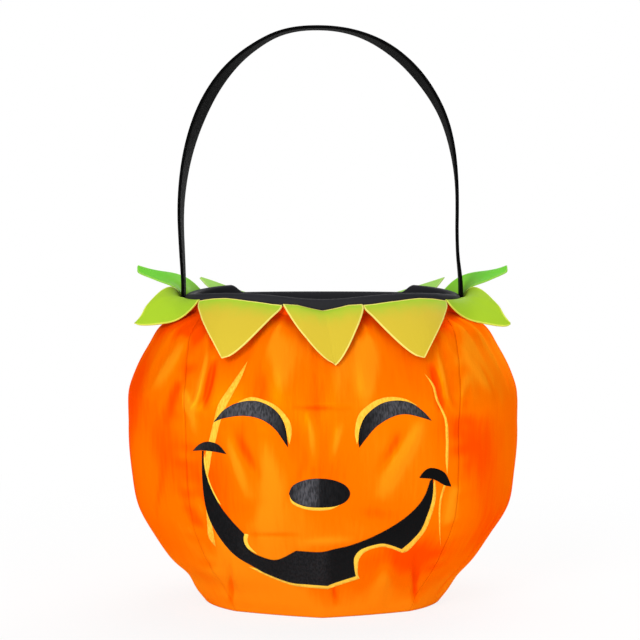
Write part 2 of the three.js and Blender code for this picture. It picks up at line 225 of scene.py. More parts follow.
@dataclass(frozen=True)
class Wall:
    """The satin wall: level 0 at the base, 1 at the belly, 2 at the tuck and 3 at its top edge."""

    rim: Rim = Rim()
    lower: tuple[Pair, ...] = ((74, 0), (97.5, 30), (123, 55), (120.3, 113))
    upper: tuple[Pair, ...] = ((120.3, 113), (121, 141), (113, 163), (84, 181.4))
    depth_per_width: float = 0.8
    squareness: tuple[float, float, float] = (2.0, 2.2, 2.5)
    seam: tuple[float, float, float] = (0.73, 0.665, 0.84)
    seam_start: float = -0.5
    crease: tuple[float, float] = (0.7, 0.12)
    crease_round: float = 0.012
    rim_depth: float = 1.0 * MM
    tuck_below_rim: float = 10.6 * MM
    top_below_rim: float = 1.4 * MM

    def section(self, level: Array) -> dict[str, Array]:
        """The oval section at each level.

        Args:
            level: Levels from the base, at 0, to the tuck, at 2.

        Returns:
            Half width, half depth, squareness, height, seam angle and crease.
        """
        lower, rise = np.clip(level, 0, 1), np.clip(level - 1, 0, 1)
        below = level < 1
        low_x, low_z = bezier(self.lower, lower)
        high_x, high_z = bezier(self.upper, rise)
        half_width = np.where(below, low_x, high_x) * MM
        tuck_ratio = (self.rim.half_depth - self.rim_depth) / (self.rim.half_width - self.rim_depth)
        ratio = lerp(self.depth_per_width, tuck_ratio, smoothstep(rise, 0, 1))
        base, belly, top = self.squareness
        squareness = np.where(below, lerp(base, belly, lower), lerp(belly, top, rise))
        base, belly, top = self.seam
        share = np.where(
            below, lerp(base, belly, smoothstep(level, self.seam_start, 1)),
            lerp(belly, top, rise**2))
        depth = half_width * ratio * (1 - share**squareness) ** (1 / squareness)
        crease = np.where(below, lerp(*self.crease, lower), lerp(self.crease[1], 0, rise))
        return {
            "half_width": half_width,
            "half_depth": half_width * ratio,
            "squareness": squareness,
            "height": np.where(below, low_z, high_z) * MM,
            "seam": np.arctan2(depth, half_width * share),
            "crease": crease,
        }

    def below_tuck(self, angle: Array, level: Array) -> Array:
        """Points of the wall's outer face from the base to the tuck.

        Args:
            angle: Polar angles.
            level: Levels from 0 to 2.

        Returns:
            One point to a row.
        """
        part = self.section(level)
        sizes = (part["half_width"], part["half_depth"], part["squareness"])
        radius = oval_radius(*sizes, angle)
        corner = oval_radius(*sizes, part["seam"])
        corner_x, corner_y = corner * np.cos(part["seam"]), corner * np.sin(part["seam"])
        across = np.sqrt(np.cos(angle) ** 2 + self.crease_round**2)
        along = np.abs(np.sin(angle))
        line = corner_x * part["half_depth"] / (
            across * (part["half_depth"] - corner_y) + along * corner_x)
        inside = along > np.sin(part["seam"])
        radius = np.where(inside, lerp(radius, line, part["crease"]), radius)
        stretch = (self.rim.top(angle) - self.tuck_below_rim) / (self.upper[-1][1] * MM)
        return np.column_stack(
            (radius * np.cos(angle), radius * np.sin(angle), part["height"] * stretch))

    def point(self, angle: Array, level: Array) -> Array:
        """Points of the wall's outer face at any level.

        Args:
            angle: Polar angles.
            level: Levels from 0 to 3.

        Returns:
            One point to a row.
        """
        up = lerp(-self.tuck_below_rim, -self.top_below_rim, level - 2)
        held = self.rim.point(angle, -self.rim_depth, up)
        return np.where((level >= 2)[:, None], held, self.below_tuck(angle, level))

    def seam_at(self, level: Array) -> Array:
        """Returns the angle of the seam in the first quadrant, at any level."""
        return self.section(np.clip(level, 0, 2))["seam"]

    def foot_level(self, height: float) -> float:
        """Returns the wall's level at a small height above the ground."""
        return height / (3 * (self.lower[1][1] - self.lower[0][1]) * MM)

    def outward(self, angle: Array, level: Array) -> Array:
        """The wall's outward directions.

        Args:
            angle: Polar angles.
            level: Levels from 0 to 3.

        Returns:
            One direction to a row, at length 1.
        """
        step = 2e-3
        across = self.point(angle + step, level) - self.point(angle - step, level)
        low = np.clip(level - step, 0, 3)
        rise = self.point(angle, np.clip(level + step, 0, 3)) - self.point(angle, low)
        return unit(np.cross(across, rise))


class Side(Enum):
    """The four panels of the wall, each between two upright seams."""

    FRONT = "front"
    RIGHT = "right_side"
    BACK = "back"
    LEFT = "left_side"

    def angles(self, seam: Array, share: Array) -> Array:
        """Polar angles across the panel.

        Args:
            seam: The seam's angle in the first quadrant.
            share: How far across the panel, from 0 to 1.

        Returns:
            The polar angles.
        """
        ends = {
            Side.FRONT: (seam - math.pi, -seam),
            Side.RIGHT: (-seam, seam),
            Side.BACK: (seam, math.pi - seam),
            Side.LEFT: (math.pi - seam, math.pi + seam),
        }[self]
        return lerp(ends[0], ends[1], share)

    def width(self, face: float, side: float) -> float:
        """Returns the width of a panel: one for the front and the back, one for the sides."""
        return face if self in (Side.FRONT, Side.BACK) else side


@dataclass(frozen=True)
class Viewpoint:
    """Where the bag is seen from. The face is drawn on an upright sheet through its middle."""

    side: float = -1.55 * MM
    distance: float = 1150 * MM
    height: float = 258.4 * MM
    tilt: float = math.radians(4.2)
    focal_pixels: float = 1855.0
    frame_pixels: float = 640.0
    sensor: float = 36.0

    def eye(self) -> Vector:
        """Returns the eye's place."""
        return Vector((self.side, -self.distance, self.height))

    def drawn(self, points: Array) -> tuple[Array, Array]:
        """Finds where points are seen on the drawing sheet.

        Args:
            points: One point to a row.

        Returns:
            Places to the right of the middle and above the base, in millimetres.
        """
        scale = self.distance / (self.distance + points[:, 1])
        across = self.side + (points[:, 0] - self.side) * scale
        height = self.height + (points[:, 2] - self.height) * scale
        return across / MM, height / MM

    def ray(self, across: float, height: float) -> Vector:
        """Returns the direction from the eye to a place on the drawing sheet, in millimetres."""
        return (Vector((across * MM, 0, height * MM)) - self.eye()).normalized()


@dataclass(frozen=True)
class Fold:
    """A ridge or a valley in the cloth, along a line on the drawing sheet, in millimetres.

    Its height along the line follows a half wave, from one share of the wave to another.
    """

    path: tuple[Pair, ...]
    width: float
    height: float
    wave: Pair = (0.1, 0.9)

    def relief(self, across: Array, height: Array) -> Array:
        """Height of the fold at places on the drawing sheet.

        Args:
            across: Places to the right of the middle.
            height: Places above the base.

        Returns:
            Heights in millimetres, tapering towards both ends of the line.
        """
        lengths = [math.dist(a, b) for a, b in zip(self.path, self.path[1:])]
        total, before = sum(lengths), 0.0
        best = np.full(across.shape, np.inf)
        taper = np.zeros(across.shape)
        for (x0, y0), (x1, y1), length in zip(self.path, self.path[1:], lengths):
            run = ((across - x0) * (x1 - x0) + (height - y0) * (y1 - y0)) / length**2
            run = np.clip(run, 0, 1)
            away = np.hypot(across - lerp(x0, x1, run), height - lerp(y0, y1, run))
            nearer = away < best
            best = np.where(nearer, away, best)
            share = (before + run * length) / total
            taper = np.where(nearer, np.sin(math.pi * lerp(*self.wave, share)), taper)
            before += length
        return self.height * taper * bump(best, self.width)


FACE_FOLDS = (
    Fold(((-27, 166), (-26, 124)), 6.5, 1.0),
    Fold(((27, 166), (28, 124)), 6.5, 1.0),
    Fold(((-2, 160), (-3, 112)), 8.0, -0.65),
    Fold(((-8, 114), (-5, 84)), 2.6, 0.7),
    Fold(((11, 108), (6.5, 87)), 2.4, 0.6),
    Fold(((-60, 101), (-53, 82), (-46, 62)), 3.5, 0.8),
    Fold(((-52, 100), (-40, 76)), 3.0, -0.5),
    Fold(((-38, 108), (-30, 62)), 6.0, 0.5),
    Fold(((62, 110), (50, 88), (38, 66)), 5.0, 0.9),
    Fold(((50, 104), (36, 80)), 3.5, -0.6),
    Fold(((-17, 119.5), (18, 119)), 1.2, -0.3),
    Fold(((-45, 39.5), (-15, 39)), 1.4, -0.35),
    Fold(((-13, 34), (18, 36)), 2.5, 0.4),
    Fold(((-66, 44), (-56, 20), (-48, -4)), 4.5, 1.1),
    Fold(((-58, 30), (-58, -8)), 1.8, -0.9),
    Fold(((59, 26), (59, -8)), 1.8, -0.9),
    Fold(((7, 6), (9, -6)), 1.6, -0.7),
    Fold(((40, 22), (36, -6)), 5.0, 0.8),
    Fold(((-71, 164), (-72.5, 146), (-76, 129), (-81, 117)), 1.6, 0.8),
    Fold(((-68, 148), (-71, 134), (-74, 120)), 2.4, -1.3),
    Fold(((70, 158), (75, 138), (77, 127), (81, 118)), 1.6, 0.8),
    Fold(((68, 146), (72, 134), (74, 120)), 2.4, -1.2),
    Fold(((-84, 165), (-94, 148), (-106, 128)), 3.2, 0.7),
    Fold(((-79, 150), (-92, 128), (-97, 112)), 4.0, -0.6),
    Fold(((-88, 136), (-82, 118), (-78, 100)), 2.6, 0.6),
    Fold(((83, 168), (92, 150), (103, 131)), 3.2, 0.7),
    Fold(((90, 140), (84, 118)), 3.0, 0.5),
    Fold(((-79, 63), (-72, 50)), 2.5, 0.5),
    Fold(((-86, 62), (-76, 42)), 3.0, -0.4),
    Fold(((84, 70), (76, 46)), 3.5, 0.5),
    Fold(((20, 53), (48, 51)), 6.0, -0.4),
    Fold(((-36, 60), (-38, 40)), 8.0, 0.3),
)

# Patches of painted shade where negative (redder) and of painted highlight where positive
# (yellower). They change the satin's colour only.
FACE_SHADES = (
    Fold(((10, 16), (34, 21), (56, 24), (88, 26)), 15.0, -1.5),
    Fold(((-62, 24), (-58, 8)), 8.0, 1.0),
    Fold(((-47, 64), (-44, 46)), 8.0, -0.6),
    Fold(((96, 130), (96, 110)), 9.0, 0.5),
)


@dataclass(frozen=True)
class Drape:
    """How the satin lies over the wall: folds, gathers at the rim, puckers and soft swells.

    Plain lengths are in millimetres, but a gather's width and lean are angles in radians. Each
    bulge is a height above the ground, a spread, a rise and how much more it rises on the right
    than in the middle. Tones are on the scale of the folds' heights.
    """

    wall: Wall = Wall()
    view: Viewpoint = Viewpoint()
    folds: tuple[Fold, ...] = FACE_FOLDS
    shades: tuple[Fold, ...] = FACE_SHADES
    bulges: tuple[tuple[float, float, float, float], ...] = (
        (169, 7, 2.5, 0), (131, 9, 0.9, 0), (61, 15, 2.4, 0.6), (15.5, 8, -2.2, 0.6))
    side_power: float = 1.5
    seed: int = 11
    fold_strength: float = 1.8
    face_edge: Pair = (-25 * MM, 5 * MM)
    flat_foot: Pair = (0.5, 9)
    flat_tuck: Pair = (1.86, 2.0)
    neck_height: float = 182
    gather_count: int = 52
    gather_jitter: float = 0.35
    gather_width: Pair = (0.016, 0.032)
    gather_reach: Pair = (16, 58)
    gather_lean: float = 0.0014
    gather_rise: Pair = (0.25, 1.0)
    gather_spread: float = 60
    gather_places: tuple[float, float, float] = (0.55, 0.45, 0.4)
    seam_dip: float = 0.14
    seam_width: float = 1.2
    pucker_height: float = 0.15
    pucker_pitch: float = 15.0
    pucker_width: float = 9.0
    pucker_shift: float = 1.9
    pucker_slant: float = 0.12
    second_pucker: Pair = (0.6, 0.61)
    crinkle_count: int = 30
    crinkle_level: Pair = (16, 150)
    crinkle_lean: float = 0.45
    crinkle_half: Pair = (10, 30)
    crinkle_width: Pair = (1.6, 3.6)
    crinkle_height: float = 0.75
    crinkle_bow: Pair = (2.0, 14)
    crinkle_face: Pair = (-0.85, -0.2)
    crinkle_front: float = 0.35
    crinkle_back: float = 0.4
    girth_radius: float = 100
    swell_count: int = 14
    swell_pitch: Pair = (34 * MM, 90 * MM)
    swell_tilt: float = 0.6
    swell_height: float = 0.3
    # Painted shade: the sides are redder, the left more than the right, and a painted shadow lies
    # in the band just under the leaves.
    side_shade: float = 0.35
    side_shade_tilt: float = 0.25
    foot_tone: float = 1.4
    foot_reach: Pair = (4, 80)
    leaf_shadow_tone: float = 1.0
    leaf_shadow_reach: float = 24

    def relief(self, angle: Array, level: Array) -> Array:
        """Height of the folds over the plain wall.

        Args:
            angle: Polar angles.
            level: Levels of the wall.

        Returns:
            Heights in millimetres.
        """
        points = self.wall.point(angle, level)
        height = points[:, 2] / MM
        total = self._drawn(points, self.folds) * self.fold_strength
        total += self._gathers(angle, height)
        total += self._seams(angle, level, height)
        total += self._crinkles(angle, height)
        total += self._swells(points)
        ends = smoothstep(height, *self.flat_foot) * (1 - smoothstep(level, *self.flat_tuck))
        return total * ends

    def tone(self, angle: Array, level: Array) -> Array:
        """What the satin's colour follows: painted shade in the valleys and painted highlight on
        the ridges of the folds, patches of painted shade and highlight on the face side, painted
        shade on the sides, a painted shadow just under the leaves, and a yellower foot.

        Args:
            angle: Polar angles.
            level: Levels of the wall.

        Returns:
            Tones, on the scale of the folds' heights.
        """
        points = self.wall.point(angle, level)
        height = points[:, 2] / MM
        turn = np.cos(angle)
        foot = self.foot_tone * (1 - smoothstep(height, *self.foot_reach))
        # Painted shade on the sides, stronger on the left, and a painted shadow just under the
        # leaves.
        side = (self.side_shade - self.side_shade_tilt * turn) * turn**2
        low = self.neck_height - self.leaf_shadow_reach
        leaf_shadow = self.leaf_shadow_tone * smoothstep(height, low, self.neck_height)
        shade = self._drawn(points, self.shades)
        return self.relief(angle, level) + shade + foot - side - leaf_shadow

    def sag(self, angle: Array, height: Array) -> Array:
        """How the slack cloth bellies out and pulls in at the two sides.

        Args:
            angle: Polar angles.
            height: Heights above the ground, in millimetres.

        Returns:
            Distances outwards in millimetres.
        """
        turn = np.cos(angle)
        total = sum((rise + tilt * turn) * bump(height - level, spread)
                    for level, spread, rise, tilt in self.bulges)
        return np.abs(turn) ** self.side_power * total

    def _drawn(self, points: Array, folds: Sequence[Fold]) -> Array:
        """Folds, or patches of painted shade and highlight, that lie on the face side.

        Args:
            points: Points of the wall.
            folds: The folds, or the patches of painted shade and highlight.

        Returns:
            Heights in millimetres.
        """
        across, height = self.view.drawn(points)
        facing = 1 - smoothstep(points[:, 1], *self.face_edge)
        return facing * sum(fold.relief(across, height) for fold in folds)

    def _gathers(self, angle: Array, height: Array) -> Array:
        """The gathers that run down from the rim.

        Args:
            angle: Polar angles.
            height: Heights above the ground, in millimetres.

        Returns:
            Heights in millimetres.
        """
        draws = np.random.default_rng(self.seed)
        total = np.zeros(angle.shape)
        least, at_sides, behind = self.gather_places
        down = np.maximum(self.neck_height - height, 0)
        for number in range(self.gather_count):
            shift = draws.uniform(-self.gather_jitter, self.gather_jitter)
            turn = 2 * math.pi * (number + shift) / self.gather_count
            width = draws.uniform(*self.gather_width)
            reach = draws.uniform(*self.gather_reach)
            lean = draws.uniform(-self.gather_lean, self.gather_lean)
            rise = draws.uniform(*self.gather_rise)
            rise *= least + at_sides * abs(math.cos(turn)) + behind * max(math.sin(turn), 0)
            away = np.angle(np.exp(1j * (angle - turn - lean * down)))
            width = width * (1 + down / self.gather_spread)
            total += rise * bump(away, width) * bump(down, reach)
        return total

    def _crinkles(self, angle: Array, height: Array) -> Array:
        """Short sharp creases, which the sides and the back have more of.

        Args:
            angle: Polar angles.
            height: Heights above the ground, in millimetres.

        Returns:
            Heights in millimetres.
        """
        draws = np.random.default_rng(self.seed + 2)
        total = np.zeros(angle.shape)
        for _ in range(self.crinkle_count):
            turn = draws.uniform(-math.pi, math.pi)
            level = draws.uniform(*self.crinkle_level)
            lean = draws.normal(0, self.crinkle_lean)
            half = draws.uniform(*self.crinkle_half)
            width = draws.uniform(*self.crinkle_width)
            rise = draws.uniform(-1.0, 1.0) * self.crinkle_height
            off_face = smoothstep(np.array(math.sin(turn)), *self.crinkle_face)
            rise *= self.crinkle_front + (1 - self.crinkle_front) * off_face
            rise *= 1 + self.crinkle_back * max(math.sin(turn), 0)
            across = np.angle(np.exp(1j * (angle - turn))) * self.girth_radius
            up = height - level
            along = up * math.cos(lean) + across * math.sin(lean)
            bow = self.crinkle_bow[0] * np.sin(along / self.crinkle_bow[1] + turn)
            away = across * math.cos(lean) - up * math.sin(lean) + bow
            total += rise * bump(away, width) * bump(along, half)
        return total

    def _seams(self, angle: Array, level: Array, height: Array) -> Array:
        """The dips along the upright seams and the puckers beside them.

        Args:
            angle: Polar angles.
            level: Levels of the wall.
            height: Heights above the ground, in millimetres.

        Returns:
            Heights in millimetres.
        """
        part = self.wall.section(np.clip(level, 0, 2))
        quadrant = np.arctan2(np.abs(np.sin(angle)), np.abs(np.cos(angle)))
        away = (quadrant - part["seam"]) * part["half_width"] / MM
        dip = -self.seam_dip * bump(away, self.seam_width)
        which = np.floor(angle / (math.pi / 2)) % 4
        turns = 2 * math.pi * height / self.pucker_pitch
        wave = np.sin(turns + self.pucker_shift * which + self.pucker_slant * away)
        share, pitch = self.second_pucker
        wave += share * np.sin(turns / pitch + which)
        return dip + self.pucker_height * wave * bump(away, self.pucker_width)

    def _swells(self, points: Array) -> Array:
        """Slow, soft swells all over the cloth.

        Args:
            points: Points of the wall.

        Returns:
            Heights in millimetres.
        """
        draws = np.random.default_rng(self.seed + 1)
        total = np.zeros(len(points))
        for _ in range(self.swell_count):
            towards = unit(draws.normal(size=(1, 3)))[0] * (1, 1, self.swell_tilt)
            pitch = draws.uniform(*self.swell_pitch)
            phase = draws.uniform(0, 2 * math.pi)
            total += np.sin(2 * math.pi * (points @ towards) / pitch + phase)
        return total * self.swell_height / 2

    def surface(self, angle: Array, level: Array, depth: Array | float,
                share: float = 1.0) -> Array:
        """Points of the draped cloth.

        Args:
            angle: Polar angles.
            level: Levels of the wall.
            depth: How far the points lie in from the cloth's outer face.
            share: How much of the folds the points follow.

        Returns:
            One point to a row.
        """
        points = self.wall.point(angle, level)
        lift = self.relief(angle, level) * share + self.sag(angle, points[:, 2] / MM)
        return points + self.wall.outward(angle, level) * (lift * MM - depth)[:, None]


def add_object(name: str, data: bpy.types.ID) -> bpy.types.Object:
    """Adds a new object to the scene.

    Args:
        name: Its name.
        data: Its mesh, lamp or camera.

    Returns:
        The object.
    """
    thing = bpy.data.objects.new(name, data)
    bpy.context.scene.collection.objects.link(thing)
    return thing


def mesh_from(name: str, shape: bmesh.types.BMesh) -> bpy.types.Mesh:
    """Makes a mesh from a shape, which is freed.

    Args:
        name: Name of the mesh.
        shape: The shape.

    Returns:
        The mesh.
    """
    mesh = bpy.data.meshes.new(name)
    shape.to_mesh(mesh)
    shape.free()
    return mesh


def mesh_piece(name: str, mesh: bpy.types.Mesh) -> bpy.types.Object:
    """Returns a new object in the scene for a mesh, shaded smooth."""
    mesh.shade_smooth()
    return add_object(name, mesh)


def settle(piece: bpy.types.Object, finish: bpy.types.Material, node: str) -> None:
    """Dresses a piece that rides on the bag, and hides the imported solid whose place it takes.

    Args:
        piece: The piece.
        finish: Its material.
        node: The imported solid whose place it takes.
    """
    piece.data.materials.append(finish)
    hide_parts(node)
    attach(piece, BAG)


def cloth_grid(name: str, cells: tuple[int, int], place: Place, cut: Pair,
               marks: dict[str, Place] | None = None) -> bpy.types.Mesh:
    """A sheet laid out as a grid and moved into place.

    Args:
        name: Name of the mesh.
        cells: Cells across and along.
        place: Gives the points at shares across and along.
        cut: Width and length of the cloth before sewing.
        marks: Named values kept on the mesh's points for its finish.

    Returns:
        The mesh, with a layout of the cloth in metres.
    """
    shape = bmesh.new()
    bmesh.ops.create_grid(shape, x_segments=cells[0], y_segments=cells[1], size=0.5)
    mesh = mesh_from(name, shape)
    flat = np.empty(len(mesh.vertices) * 3)
    mesh.vertices.foreach_get("co", flat)
    across, along = flat.reshape(-1, 3)[:, 0] + 0.5, flat.reshape(-1, 3)[:, 1] + 0.5
    mesh.vertices.foreach_set("co", place(across, along).ravel())
    corners = np.empty(len(mesh.loops), dtype=np.int32)
    mesh.loops.foreach_get("vertex_index", corners)
    layout = np.stack((across[corners] * cut[0], along[corners] * cut[1]), axis=1)
    mesh.uv_layers.new(name="Cloth").uv.foreach_set("vector", layout.ravel())
    for mark, value in (marks or {}).items():
        layer = mesh.attributes.new(mark, "FLOAT", "POINT")
        layer.data.foreach_set("value", value(across, along))
    mesh.update()
    return mesh


def close_seams(mesh: bpy.types.Mesh, cap: bool = False) -> None:
    """Joins the touching edges of a rolled-up grid.

    Args:
        mesh: The grid.
        cap: Whether its open ends are closed too.
    """
    shape = bmesh.new()
    shape.from_mesh(mesh)
    bmesh.ops.remove_doubles(shape, verts=shape.verts, dist=TOUCHING)
    if cap:
        rims = [edge for edge in shape.edges if edge.is_boundary]
        bmesh.ops.holes_fill(shape, edges=rims)
    bmesh.ops.recalc_face_normals(shape, faces=shape.faces)
    shape.to_mesh(mesh)
    shape.free()


def thicken(piece: bpy.types.Object, thickness: float) -> None:
    """Gives a sheet its thickness.

    Args:
        piece: The sheet.
        thickness: Distance behind its faces, or before them where negative.
    """
    layer = piece.modifiers.new("Thickness", "SOLIDIFY")
    layer.thickness = thickness
    layer.offset = -1
    layer.use_even_offset = False
    layer.use_quality_normals = True


class Tree:
    """Short ways to add and join the nodes of one node tree."""

    def __init__(self, tree: bpy.types.NodeTree) -> None:
        """Keeps the tree that nodes are added to."""
        self.tree = tree

    def add(self, kind: str, values: dict[str | int, object] | None = None,
            **settings: object) -> bpy.types.Node:
        """Adds a node.

        Args:
            kind: The node's type, without the word ShaderNode in front.
            values: Values or source sockets for its inputs.
            settings: The node's own settings.

        Returns:
            The node.
        """
        node = self.tree.nodes.new(f"ShaderNode{kind}")
        for name, value in settings.items():
            setattr(node, name, value)
        for name, value in (values or {}).items():
            if isinstance(value, bpy.types.NodeSocket):
                self.tree.links.new(value, node.inputs[name])
            else:
                node.inputs[name].default_value = value
        return node

    def join(self, source: Socket, node: bpy.types.Node, name: str) -> None:
        """Leads a socket to a node's input."""
        self.tree.links.new(source, node.inputs[name])

    def maths(self, operation: str, *values: object) -> Socket:
        """Returns the result of a Math node."""
        return self.add("Math", dict(enumerate(values)), operation=operation).outputs[0]

    def centred(self, value: Socket, spread: float) -> Socket:
        """Returns a value from 0 to 1 as a spread about 0."""
        return self.maths("MULTIPLY_ADD", value, spread, -spread / 2)

    def mix(self, share: object, low: object, high: object) -> Socket:
        """Returns a mix of two colours."""
        return self.add("Mix", {0: share, 6: low, 7: high}, data_type="RGBA").outputs[2]

    def band(self, value: object, low: float, high: float) -> Socket:
        """Returns a value brought smoothly from low and high to 0 and 1."""
        return self.add("MapRange", {"Value": value, "From Min": low, "From Max": high},
                        interpolation_type="SMOOTHSTEP").outputs[0]

    def attribute(self, name: str) -> Socket:
        """Returns a named value that the mesh keeps."""
        return self.add("Attribute", attribute_name=name).outputs["Fac"]

    def group(self, name: str, **values: object) -> Socket:
        """Returns what one of this file's node groups gives for its inputs."""
        return self.add("Group", values, node_tree=bpy.data.node_groups[name]).outputs[0]

    def noise(self, place: Socket, scale: float, detail: float) -> Socket:
        """Returns even noise at a place."""
        values = {"Vector": place, "Scale": scale, "Detail": detail}
        return self.add("TexNoise", values).outputs[0]

    def relief(self, height: Socket, depth: float, strength: float = 1.0,
               **under: Socket) -> Socket:
        """Returns the normal of a height, over the normal of what lies under it if given."""
        values = {"Height": height, "Distance": depth, "Strength": strength, **under}
        return self.add("Bump", values).outputs[0]


def new_group(name: str, inputs: Sequence[tuple[str, str, object]],
              outputs: Sequence[tuple[str, str]]) -> tuple[Tree, dict, dict]:
    """Starts a shader node group.

    Args:
        name: Name of the group.
        inputs: Name, socket type and default value of each input.
        outputs: Name and socket type of each output.

    Returns:
        The group's tree, its input sockets and its output sockets, by name.
    """
    tree = bpy.data.node_groups.new(name, "ShaderNodeTree")
    for label, kind, value in inputs:
        socket = tree.interface.new_socket(name=label, in_out="INPUT", socket_type=kind)
        if value is not None:
            socket.default_value = value
    for label, kind in outputs:
        tree.interface.new_socket(name=label, in_out="OUTPUT", socket_type=kind)
    ins = tree.nodes.new("NodeGroupInput")
    outs = tree.nodes.new("NodeGroupOutput")
    return Tree(tree), {s.name: s for s in ins.outputs}, {s.name: s for s in outs.inputs}


FLOAT = "NodeSocketFloat"
VECTOR = "NodeSocketVector"


def weave_group() -> bpy.types.NodeTree:
    """Threads crossing over and under each other, as a height from 0 to 1.

    Returns:
        The node group.
    """
    nodes, ins, outs = new_group(
        "Weave", [("Layout", VECTOR, None), ("Pitch", FLOAT, 0.4 * MM), ("Twill", FLOAT, 0.0)],
        [("Height", FLOAT)])
    split = nodes.add("SeparateXYZ", {0: ins["Layout"]})
    turns = nodes.maths("DIVIDE", 2 * math.pi, ins["Pitch"])
    skew = nodes.maths("MULTIPLY_ADD", split.outputs[1], ins["Twill"], split.outputs[0])
    warp = nodes.maths("SINE", nodes.maths("MULTIPLY", skew, turns))
    weft = nodes.maths("SINE", nodes.maths("MULTIPLY", split.outputs[1], turns))
    cross = nodes.maths("MULTIPLY", warp, weft)
    nodes.tree.links.new(nodes.maths("MULTIPLY_ADD", cross, 0.5, 0.5), outs["Height"])
    return nodes.tree


def ripple_group() -> bpy.types.NodeTree:
    """Uneven streaks along the cloth, finer across it than along it.

    Returns:
        The node group.
    """
    nodes, ins, outs = new_group(
        "Ripple", [("Layout", VECTOR, None), ("Width", FLOAT, 4 * MM), ("Stretch", FLOAT, 5.0)],
        [("Height", FLOAT)])
    split = nodes.add("SeparateXYZ", {0: ins["Layout"]})
    fine = nodes.maths("DIVIDE", split.outputs[0], ins["Width"])
    long = nodes.maths(
        "DIVIDE", nodes.maths("DIVIDE", split.outputs[1], ins["Width"]), ins["Stretch"])
    place = nodes.add("CombineXYZ", {0: fine, 1: long}).outputs[0]
    nodes.tree.links.new(nodes.noise(place, scale=1.0, detail=3.0), outs["Height"])
    return nodes.tree


def new_material(name: str) -> tuple[bpy.types.Material, Tree, bpy.types.Node]:
    """Starts a material.

    Args:
        name: Its name.

    Returns:
        The material, its tree and its main shader.
    """
    material = bpy.data.materials.new(name)
    material.use_nodes = True
    return material, Tree(material.node_tree), material.node_tree.nodes["Principled BSDF"]


def linear(code: str) -> tuple[float, float, float, float]:
    """Reads a colour as the shaders count it.

    Args:
        code: The colour in six hexadecimal digits.

    Returns:
        Red, green, blue and 1.
    """
    parts = [int(code[place:place + 2], 16) / 255 for place in (0, 2, 4)]
    lit = [p / 12.92 if p <= 0.04045 else ((p + 0.055) / 1.055) ** 2.4 for p in parts]
    return (*lit, 1.0)


@dataclass(frozen=True)
class Surface:
    """What every cloth here has: a weave, streaks, a roughness and a gloss."""

    roughness: float = 0.5
    roughness_spread: float = 0.16
    specular: float = 0.3
    metallic: float = 0.0
    pitch: float = 0.4 * MM
    twill: float = 0.0
    weave_depth: float = 0.03 * MM
    ripple_width: float = 4 * MM
    ripple_stretch: float = 5.0
    ripple_depth: float = 0.1 * MM

    def dress(self, nodes: Tree, shader: bpy.types.Node) -> dict[str, Socket]:
        """Adds the weave, streaks and gloss to a material.

        Args:
            nodes: The material's tree.
            shader: Its main shader.

        Returns:
            The layout, the weave's height and the streaks' height.
        """
        layout = nodes.add("UVMap", uv_map="Cloth").outputs[0]
        threads = nodes.group("Weave", Layout=layout, Pitch=self.pitch, Twill=self.twill)
        streaks = nodes.group(
            "Ripple", Layout=layout, Width=self.ripple_width, Stretch=self.ripple_stretch)
        coarse = nodes.relief(streaks, self.ripple_depth)
        nodes.join(nodes.relief(threads, self.weave_depth, Normal=coarse), shader, "Normal")
        smoothest = self.roughness - self.roughness_spread / 2
        rough = nodes.maths("MULTIPLY_ADD", streaks, self.roughness_spread, smoothest)
        nodes.join(rough, shader, "Roughness")
        shader.inputs["Specular IOR Level"].default_value = self.specular
        shader.inputs["Metallic"].default_value = self.metallic
        return {"layout": layout, "threads": threads, "streaks": streaks}


@dataclass(frozen=True)
class SatinFinish:
    """Orange satin with painted light: redder in the valleys of its folds as painted shade,
    yellower on its ridges as a painted highlight, with streaks of painted sheen.

    The levels are the tones at which the valley's painted shade, the flat colour and the ridge's
    painted highlight are full.
    """

    name: str = "orange_satin"
    # valley is the colour of the painted shade, ridge that of the painted highlight; gloss tints
    # the real reflections.
    valley: str = "FF4E00"
    flat: str = "FF7400"
    ridge: str = "FF8E10"
    gloss: str = "FF8A20"
    levels: tuple[float, float, float] = (-1.1, 0.1, 1.2)
    band_width: float = 9 * MM
    band_spread: float = 0.6
    # How strongly the streaks of painted sheen move the colour.
    sheen_streak_spread: float = 0.6
    surface: Surface = Surface(
        roughness=0.42, specular=0.0, metallic=0.28, pitch=0.36 * MM, weave_depth=0.012 * MM,
        ripple_width=2.4 * MM, ripple_stretch=8.0, ripple_depth=0.16 * MM)

    def make(self) -> bpy.types.Material:
        """Makes the material.

        Returns:
            The material.
        """
        material, nodes, shader = new_material(self.name)
        marks = self.surface.dress(nodes, shader)
        bands = nodes.group("Ripple", Layout=marks["layout"], Width=self.band_width)
        drift = nodes.centred(bands, self.band_spread)
        sheen_streak = nodes.centred(marks["streaks"], self.sheen_streak_spread)
        # The relief mark is the painted tone: painted shade in the fold valleys, on the sides and
        # under the leaves, and painted highlight on the ridges. The streaks add painted sheen, and
        # the bands add random tone.
        value = nodes.maths("ADD", nodes.maths("ADD", nodes.attribute("relief"), drift), sheen_streak)
        low, middle, high = self.levels
        valley_shaded = nodes.mix(nodes.band(value, low, middle), linear(self.valley), linear(self.flat))
        colour = nodes.mix(nodes.band(value, middle, high), valley_shaded, linear(self.ridge))
        nodes.join(colour, shader, "Base Color")
        shader.inputs["Specular Tint"].default_value = linear(self.gloss)
        return material


